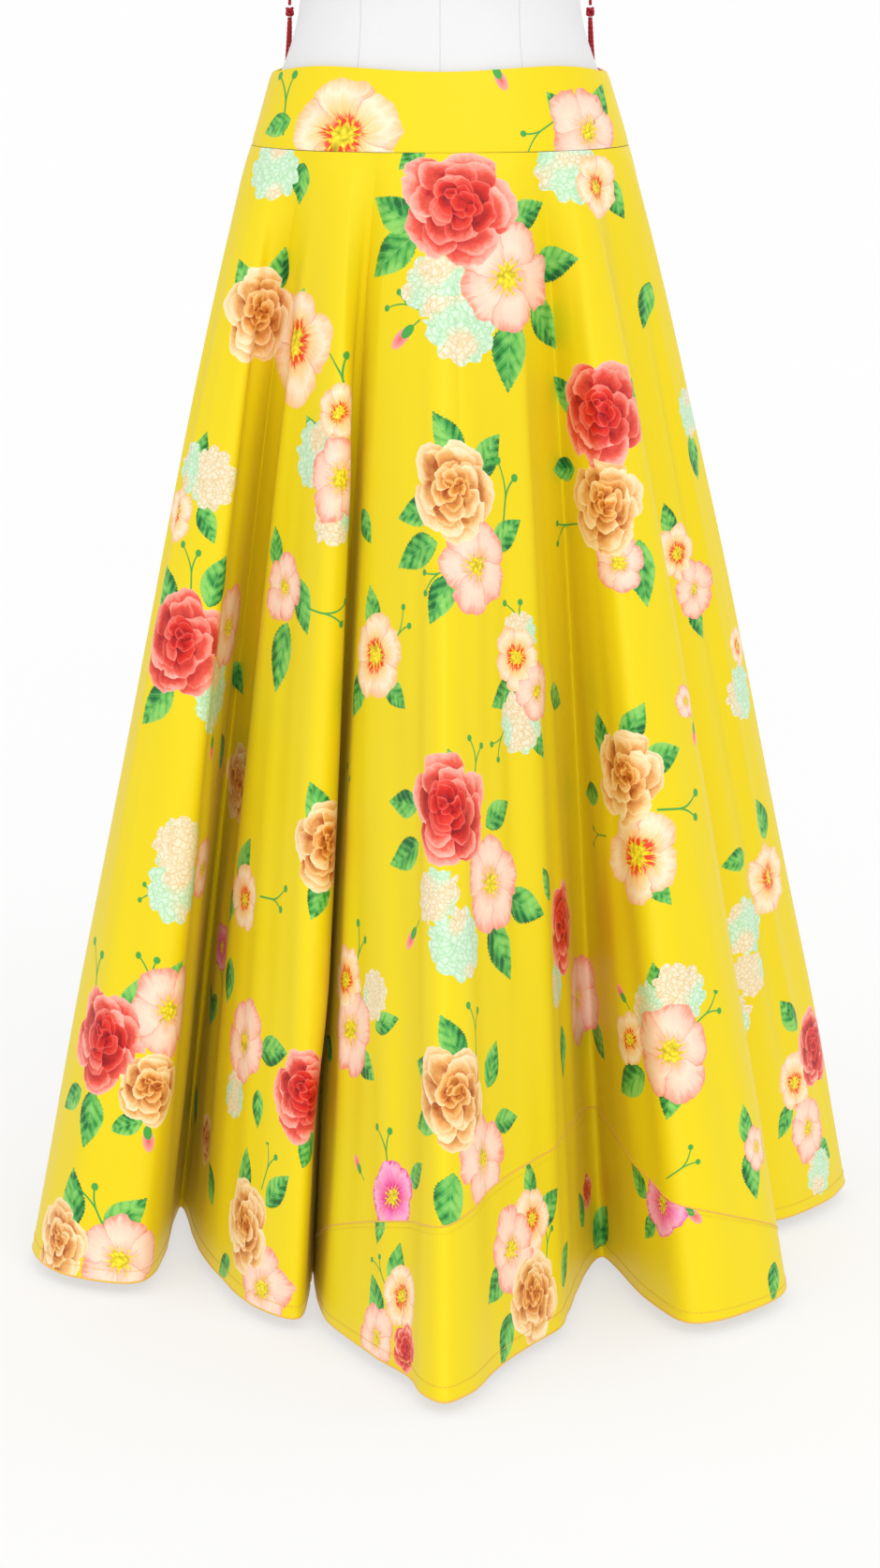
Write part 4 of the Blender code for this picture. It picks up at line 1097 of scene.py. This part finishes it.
def print_hidden(panel, trees, start, sprays, first_down, clear):
    """Sprays on a half-drop lattice wherever no motif lies yet.

    The first row lies first_down below the upper edge, a spray keeps clear of
    what is printed already, and start begins the numbers that seeds come from.
    """
    seen = list(panel.middles)
    fall = panel.down[-1, panel.points.shape[1] // 2]
    count, spot, row = start, start // 100, 0
    down = first_down
    while down < fall + 0.05:
        i, _ = panel.place_at(0.0, min(down, fall - 0.001))
        wide = panel.across[int(i), -1]
        across = SPRAY_ACROSS * (0.25 + 0.5 * (row % 2))
        while across < wide:
            x = across + SPRAY_DRIFT[0] * sin(spot * 2.3)
            y = down + SPRAY_DRIFT[1] * sin(spot * 3.7)
            i, j = panel.place_at(x, min(y, fall - 0.001))
            middle = panel.points[int(i), int(j)]
            if all(np.linalg.norm(middle - at) > clear + size for at, size in seen):
                flip = -1 if spot % 3 == 1 else 1
                for kind, right, up, radius, *angle in sprays[(spot * 3 + row) % len(sprays)]:
                    a, d = x + right * flip / 1000, y - up / 1000
                    if SPRAY_MARGIN < a < wide + 0.03 and SPRAY_MARGIN < d < fall:
                        i, j = panel.place_at(min(a, wide), d)
                        if not shows(trees, panel.points[int(i), int(j)]):
                            angle = [way if flip > 0 else 180 - way for way in angle]
                            stamp(panel, kind, i, j, count, radius, *angle)
                    count += 1
            across += SPRAY_ACROSS
            spot += 1
        down += SPRAY_DOWN
        row += 1


# Sewn details

def sewing_tree(name, **inputs):
    """An empty Geometry Nodes tree with sizes and a material, and its input node."""
    tree = bpy.data.node_groups.new(name, "GeometryNodeTree")
    sockets = tree.interface.new_socket
    sockets("Geometry", in_out="INPUT", socket_type="NodeSocketGeometry")
    for label, value in inputs.items():
        sockets(label, in_out="INPUT", socket_type="NodeSocketFloat").default_value = value
    sockets("Material", in_out="INPUT", socket_type="NodeSocketMaterial")
    sockets("Geometry", in_out="OUTPUT", socket_type="NodeSocketGeometry")
    return tree, tree.nodes.new("NodeGroupInput").outputs


def end_tree(tree, given, shape):
    """Realized and coloured, as the tree's result."""
    real = add_node(tree, "GeometryNodeRealizeInstances", Geometry=shape)
    coloured = add_node(tree, "GeometryNodeSetMaterial", Geometry=real.outputs[0],
                        Material=given["Material"])
    add_node(tree, "NodeGroupOutput", i0=coloured.outputs[0])
    return tree


def stitch_tree():
    """Short stitches laid end to end along a curve."""
    tree, given = sewing_tree("stitches", Spacing=0.004, Stitch=0.0026, Thread=0.0003)
    points = add_node(tree, "GeometryNodeCurveToPoints", {"mode": "LENGTH"},
                      Curve=given["Geometry"], Length=given["Spacing"])
    aim = add_node(tree, "FunctionNodeAlignRotationToVector", {"axis": "Z"},
                   Vector=points.outputs["Tangent"])
    thread = add_node(tree, "GeometryNodeMeshCylinder", Vertices=6, Side_Segments=1,
                      Radius=given["Thread"], Depth=given["Stitch"])
    laid = add_node(tree, "GeometryNodeInstanceOnPoints", Points=points.outputs["Points"],
                    Instance=thread.outputs["Mesh"], Rotation=aim.outputs[0])
    return end_tree(tree, given, laid.outputs[0])


def binding_tree():
    """A thin rounded binding along a curve."""
    tree, given = sewing_tree("binding", Radius=0.001)
    ring = add_node(tree, "GeometryNodeCurvePrimitiveCircle", Resolution=8,
                    Radius=given["Radius"])
    tube = add_node(tree, "GeometryNodeCurveToMesh", Curve=given["Geometry"],
                    Profile_Curve=ring.outputs[0], Fill_Caps=True)
    smooth = add_node(tree, "GeometryNodeSetShadeSmooth", Geometry=tube.outputs[0])
    return end_tree(tree, given, smooth.outputs[0])


SEWING = {"stitches": stitch_tree(), "binding": binding_tree()}


def sewn(name, kind, routes, material, **sizes):
    """Runs one of the trees along routes and returns a plain mesh object."""
    data = bpy.data.curves.new(name + "_guide", "CURVE")
    data.dimensions = "3D"
    for route in routes:
        spline = data.splines.new("POLY")
        spline.points.add(len(route) - 1)
        for target, point in zip(spline.points, route):
            target.co = (*point, 1.0)
    guide = placed(data.name, data)
    live = guide.modifiers.new(kind, "NODES")
    live.node_group = SEWING[kind]
    for item in live.node_group.interface.items_tree:
        if item.in_out == "INPUT" and item.name in sizes:
            live[item.identifier] = sizes[item.name]
        elif item.in_out == "INPUT" and item.name == "Material":
            live[item.identifier] = material
    mesh = finished_mesh(guide)
    mesh.name = name
    bpy.data.objects.remove(guide)
    return placed(name, mesh)


def lifted(panel, row, columns, lift):
    """Points along a row of a panel, moved out along its normal."""
    return [panel.points[row, j] + panel.normals[row, j] * lift for j in columns]


STITCH_LIFT = 0.0009
SEAM_RADIUS = 0.0007
ROLLED_HEM_RADIUS = 0.0011
SHORT_RUN = 3          # stretches of hem with fewer columns carry no stitches


def sew_skirt(skirt, corner, back):
    """The rolled hem, the corner's seam and their stitches, by the sheet they go with."""
    thread = thread_material("orange_yellow_thread", (0.80, 0.46, 0.05, 1.0))
    yellow = thread_material("plain_yellow_satin", (0.80, 0.62, 0.012, 1.0))
    on_hem = np.where(np.abs(skirt.points[-1, :, 2] - HEM_Z) <= 0.002)[0]
    runs = np.split(on_hem, np.where(np.diff(on_hem) > 1)[0] + 1)
    runs = [run for run in runs if len(run) > SHORT_RUN]
    back_run, corner_run = range(back.points.shape[1]), range(corner.points.shape[1])

    def along_hem(up, corner_up, lift):
        """The whole hem, a number of rows up from its edge."""
        routes = [lifted(skirt, SKIRT_ROWS - up, run, lift) for run in runs]
        return routes + [lifted(back, SKIRT_ROWS - up, back_run, lift),
                         lifted(corner, CORNER_ROWS - corner_up, corner_run, lift)]

    hem_stitches = sewn("hem_stitches", "stitches", along_hem(1, 2, STITCH_LIFT), thread,
                        Spacing=0.0042, Stitch=0.0026, Thread=0.00028)
    seam = sewn("corner_seam", "binding", [lifted(corner, 0, corner_run, SEAM_RADIUS)], thread,
                Radius=SEAM_RADIUS)
    seam_stitches = sewn("corner_stitches", "stitches",
                         [lifted(corner, 1, corner_run, STITCH_LIFT)], yellow,
                         Spacing=0.0036, Stitch=0.0024, Thread=0.0002)
    hem = sewn("rolled_hem", "binding", along_hem(0, 0, 0.0), thread, Radius=ROLLED_HEM_RADIUS)
    for piece in (hem_stitches, seam_stitches, seam, hem):
        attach(piece, ROOT)
    return {skirt.name: [hem_stitches, hem], corner.name: [seam, seam_stitches]}


# Solids taken over from the frame and made smooth

def smooth_copy(node, name, material):
    """A merged, quad-faced and subdivided copy of a frame node."""
    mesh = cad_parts[node].data.copy()
    mesh.name = name
    mesh.materials.clear()
    mesh.materials.append(material)
    bm = bmesh.new()
    bm.from_mesh(mesh)
    bmesh.ops.remove_doubles(bm, verts=bm.verts[:], dist=1e-5)
    bmesh.ops.join_triangles(bm, faces=bm.faces[:], angle_face_threshold=radians(35),
                             angle_shape_threshold=radians(60))
    crease = bm.edges.layers.float.new("crease_edge")
    for edge in bm.edges:
        sharp = len(edge.link_faces) == 2 and edge.calc_face_angle(0.0) > SHARP_EDGE
        edge[crease] = 1.0 if sharp else 0.0
    bmesh.ops.recalc_face_normals(bm, faces=bm.faces[:])
    bm.to_mesh(mesh)
    bm.free()
    mesh.shade_smooth()
    made = placed(name, mesh)
    soft = made.modifiers.new("smooth", "SUBSURF")
    soft.levels = soft.render_levels = 2
    return apply_modifiers(made)


def reshape(made, rule):
    """Moves a mesh's points to where a rule on their places puts them."""
    flat = np.empty(len(made.data.vertices) * 3)
    made.data.vertices.foreach_get("co", flat)
    made.data.vertices.foreach_set("co", rule(flat.reshape(-1, 3)).ravel())
    made.data.update()


BODICE_HEM_Z = 1.164
SHOULDER_Z = 1.330
NECK_Z = 1.450
BODICE_MIDDLE = np.array((0.0, 0.0, 1.250))
BODICE_EASE = np.array((1.009, 1.009, 1.005))
FORM_DRAWN_IN = 0.012      # of its distance from the middle, under the bodice
FORM_DRAWN_DOWN = 0.0014   # at the shoulders
# Beside and below the armholes: from x, from and to y, from and to z
TUCK_X, TUCK_Y, TUCK_Z = 0.085, (0.034, 0.080), (1.178, 1.290)
TUCK_ROUNDS = 45


def tucked_under_bodice(points):
    """The form drawn in by about 1 mm where the bodice covers it."""
    z = points[:, 2]
    below_neck = np.clip((NECK_Z - z) / 0.030, 0, 1)
    share = np.clip((z - BODICE_HEM_Z) / 0.008, 0, 1) * below_neck
    points[:, :2] *= (1 - FORM_DRAWN_IN * share)[:, None]
    points[:, 2] -= FORM_DRAWN_DOWN * np.clip((z - SHOULDER_Z) / 0.040, 0, 1) * below_neck
    return points


def press_side_flat(made):
    """Presses out the tuck that the bodice's solid has below each armhole."""
    bm = bmesh.new()
    bm.from_mesh(made.data)
    tucked = [v for v in bm.verts if abs(v.co.x) > TUCK_X
              and TUCK_Y[0] < abs(v.co.y) < TUCK_Y[1] and TUCK_Z[0] < v.co.z < TUCK_Z[1]]
    for _ in range(TUCK_ROUNDS):
        bmesh.ops.smooth_vert(bm, verts=tucked, factor=0.5, use_axis_x=True, use_axis_y=True,
                              use_axis_z=True)
    bm.to_mesh(made.data)
    bm.free()


def eased_bodice(points):
    """The bodice let out by about 1 mm from the form."""
    return BODICE_MIDDLE + (points - BODICE_MIDDLE) * BODICE_EASE


# Twisted side ties, routes repeated from the cut

TIE_DIAMETER = 0.0028
TIE_FRONT_ROUTE = (
    (0.1257, -0.0080, 1.1648), (0.1257, -0.0078, 1.1600), (0.1268, 0.0000, 1.1400),
    (0.1277, 0.0110, 1.1240), (0.1283, 0.0230, 1.1090), (0.1285, 0.0312, 1.1015),
    (0.1285, 0.0322, 1.0957),
)
TIE_BACK_ROUTE = (
    (0.1194, 0.0300, 1.1648), (0.1196, 0.0303, 1.1600), (0.1240, 0.0352, 1.1400),
    (0.1266, 0.0372, 1.1240), (0.1281, 0.0374, 1.1090), (0.1285, 0.0363, 1.1015),
    (0.1285, 0.0358, 1.0957),
)
TAIL_ROUTES = (
    ("a", ((0.1290, 0.0322, 1.0853), (0.1297, 0.0330, 1.0760), (0.1306, 0.0385, 1.0640),
           (0.1318, 0.0440, 1.0500), (0.1332, 0.0490, 1.0370))),
    ("b", ((0.1281, 0.0358, 1.0853), (0.1281, 0.0385, 1.0760), (0.1285, 0.0440, 1.0640),
           (0.1290, 0.0500, 1.0520), (0.1296, 0.0540, 1.0410))),
)
PLY_DEPTH = 0.10       # of the cord's radius
KNOT_STEPS = 90
KNOT_FILL = (0.62, 0.70, 0.72)     # of the knot's solid, by x, y and z
KNOT_CORD = 0.92       # of the tie's diameter
CORD_SIDES = 12


def smooth_route(points, step):
    pts = [Vector(p) for p in points]
    pts = [pts[0] * 2 - pts[1]] + pts + [pts[-1] * 2 - pts[-2]]
    out = []
    for around in zip(pts, pts[1:], pts[2:], pts[3:]):
        count = max(1, ceil((around[2] - around[1]).length / step))
        out += [spline_point(*around, k / count) for k in range(count)]
    return out + [pts[-2]]


def twisted_tube(name, route, diameter, material, closed=False):
    """A two-ply cord as a mesh tube, mapped along its length and round it."""
    count = len(route)
    points = np.array(route)
    ways = np.roll(points, -1, axis=0) - np.roll(points, 1, axis=0) if closed \
        else np.gradient(points, axis=0)
    ways /= np.linalg.norm(ways, axis=1, keepdims=True)
    side = np.cross(ways[0], (0.3, 0.9, 0.2))
    run, verts, mapped = 0.0, [], []
    for k in range(count):
        if k:
            run += float(np.linalg.norm(points[k] - points[k - 1]))
        side = side - ways[k] * np.dot(side, ways[k])
        side /= np.linalg.norm(side)
        other = np.cross(ways[k], side)
        for n in range(CORD_SIDES):
            turn = 2 * pi * n / CORD_SIDES
            ply = cos(CORD_PLIES * turn + 2 * pi * run / CORD_LAY)
            radius = diameter / 2 * (1 - PLY_DEPTH + PLY_DEPTH * ply)
            verts.append(points[k] + (side * cos(turn) + other * sin(turn)) * radius)
            mapped.append((run, n / CORD_SIDES, 0.0))
    ring = range(CORD_SIDES)
    faces = []
    for k in range(count if closed else count - 1):
        m = (k + 1) % count
        for n in ring:
            o = (n + 1) % CORD_SIDES
            faces.append((k * CORD_SIDES + n, k * CORD_SIDES + o,
                          m * CORD_SIDES + o, m * CORD_SIDES + n))
    if not closed:
        faces += [tuple(ring)[::-1], tuple((count - 1) * CORD_SIDES + n for n in ring)]
    mesh = bpy.data.meshes.new(name)
    mesh.from_pydata([tuple(v) for v in verts], [], faces)
    layer = mesh.attributes.new("cord", "FLOAT_VECTOR", "POINT")
    layer.data.foreach_set("vector", np.array(mapped, np.float32).ravel())
    bm = bmesh.new()
    bm.from_mesh(mesh)
    bmesh.ops.recalc_face_normals(bm, faces=bm.faces[:])
    bm.to_mesh(mesh)
    bm.free()
    mesh.shade_smooth()
    mesh.materials.append(material)
    return placed(name, mesh)


def knot_route(node):
    """One closed overhand loop that fills the knot's solid."""
    low, high = (Vector(corner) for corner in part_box(node))
    middle, reach = (low + high) / 2, (high - low) / 2
    route = []
    for k in range(KNOT_STEPS):
        t = 2 * pi * k / KNOT_STEPS
        x, y = sin(t) + 2 * sin(2 * t), cos(t) - 2 * cos(2 * t)
        route.append(middle + Vector((-sin(3 * t) * reach.x * KNOT_FILL[0],
                                      x / 3 * reach.y * KNOT_FILL[1],
                                      y / 3 * reach.z * KNOT_FILL[2])))
    return route


def make_ties(material):
    for side, sign in (("left", -1.0), ("right", 1.0)):
        knot = twisted_tube(f"knot_{side}_cord", knot_route(f"knot_{side}"),
                            TIE_DIAMETER * KNOT_CORD, material, closed=True)
        dress(knot, f"knot_{side}")
        pieces = [(f"tie_{side}_front", TIE_FRONT_ROUTE, "knot"),
                  (f"tie_{side}_back", TIE_BACK_ROUTE, "knot")]
        pieces += [(f"tail_{side}_{tail}", route, "bare") for tail, route in TAIL_ROUTES]
        for node, route, end in pieces:
            route = smooth_route([(x * sign, y, z) for x, y, z in route], TIE_DIAMETER / 4)
            cord = twisted_tube(node + "_cord", route, TIE_DIAMETER, material)
            dress(cord, node)


# Camera, floor and light

FLOOR_SIZE = 120.0
FLOOR_TONES = (0.295, 0.295, 0.295, 1.0), (0.305, 0.305, 0.305, 1.0)
FLOOR_GLOW = 0.615
WORLD_LIGHT = 0.90
SUNS = (
    # name, place, height it is aimed at, strength, spread in degrees
    ("key", (1.2, -3.0, 2.9), 0.3, 0.92, 40.0), ("fill", (-2.6, -2.4, 2.6), 0.3, 0.42, 50.0),
    ("front", (0.0, -3.6, 1.4), 0.5, 0.36, 20.0), ("rear", (1.0, 3.2, 2.6), 0.3, 0.38, 70.0),
)


def make_camera():
    data = bpy.data.cameras.new("photo_camera")
    data.lens = LENS
    data.sensor_width = SENSOR
    camera = placed("photo_camera", data)
    camera.location = CAMERA_PLACE
    camera.rotation_euler = (pi / 2 - CAMERA_DOWN, 0.0, 0.0)
    bpy.context.scene.camera = camera


def make_studio():
    mesh = bpy.data.meshes.new("floor")
    h = FLOOR_SIZE / 2
    mesh.from_pydata([(-h, -h, 0), (h, -h, 0), (h, h, 0), (-h, h, 0)], [], [(0, 1, 2, 3)])
    shop = Shop("pale_floor")
    colour = shop.mix(shop.noise(shop.place(), 0.8, 1.0), *FLOOR_TONES)
    mesh.materials.append(shop.finish(colour, 0.9, Specular_IOR_Level=0.0,
                                      Emission_Color=(1.0, 1.0, 1.0, 1.0),
                                      Emission_Strength=FLOOR_GLOW))
    placed("floor", mesh)
    world = bpy.data.worlds.new("studio")
    bpy.context.scene.world = world
    world.use_nodes = True
    back = world.node_tree.nodes["Background"]
    back.inputs[0].default_value = (1.0, 1.0, 1.0, 1.0)
    back.inputs[1].default_value = WORLD_LIGHT
    # The default view transform would wash out the saturated yellow
    bpy.context.scene.view_settings.view_transform = "Standard"
    for name, place, height, strength, spread in SUNS:
        data = bpy.data.lights.new(name, "SUN")
        data.energy = strength
        data.angle = radians(spread)
        light = placed(name, data)
        light.location = place
        way = Vector((0.0, 0.0, height)) - Vector(place)
        light.rotation_euler = way.to_track_quat("-Z", "Y").to_euler()


# The garment and its form

# Cloth that the photograph doesn't show whole, and its first number for seeds
HALF_HIDDEN = ((300, "skirt_front_cloth"), (700, "skirt_back_cloth"),
               (1100, "waistband_back_cloth"))


def make_skirt():
    """The skirt's three pieces and the band's two, printed, creased and sewn."""
    front, corner, back = skirt_grids()
    grids = {"skirt_front_cloth": front, "hem_corner_cloth": corner, "skirt_back_cloth": back,
             "waistband_front_cloth": band_grid(-pi / 2),
             "waistband_back_cloth": band_grid(pi / 2)}
    panels = {name: Panel(name, grid) for name, grid in grids.items()}
    trees = {name: panel.tree() for name, panel in panels.items()}
    print_by_photo(panels, trees, PRINT)
    print_by_photo(panels, trees, CORNER_PRINT, only="hem_corner_cloth")
    for start, name in HALF_HIDDEN:
        for sprays, first_down, clear, numbers_on in ROUNDS:
            print_hidden(panels[name], trees, start + numbers_on, sprays, first_down, clear)
    satins, cloths = {}, {}
    for name, panel in panels.items():
        cloths[name] = panel.mesh(satins, BAND_CLOTH if "band" in name else SKIRT_CLOTH)
        dress(cloths[name], name.replace("_cloth", ""))
    sewn_on = sew_skirt(*(panels[name] for name in
                          ("skirt_front_cloth", "hem_corner_cloth", "skirt_back_cloth")))


def make_bodice_and_form():
    form = smooth_copy("form_torso", "form_cover", jersey_material())
    reshape(form, tucked_under_bodice)
    dress(form, "form_torso")
    red = red_cloth_material()
    for node in ("choli_front", "choli_back"):
        piece = smooth_copy(node, node + "_cloth", red)
        press_side_flat(piece)
        reshape(piece, eased_bodice)
        dress(piece, node)


def finish_stand():
    enamel, steel = enamel_material(), steel_material()
    for node, material in (("base_plate", enamel), ("pole_collar", enamel),
                           ("neck_cap", enamel), ("pole", steel)):
        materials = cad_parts[node].data.materials
        materials.clear()
        materials.append(material)


make_camera()
make_studio()
make_ties(cord_material())
make_skirt()
make_bodice_and_form()
finish_stand()
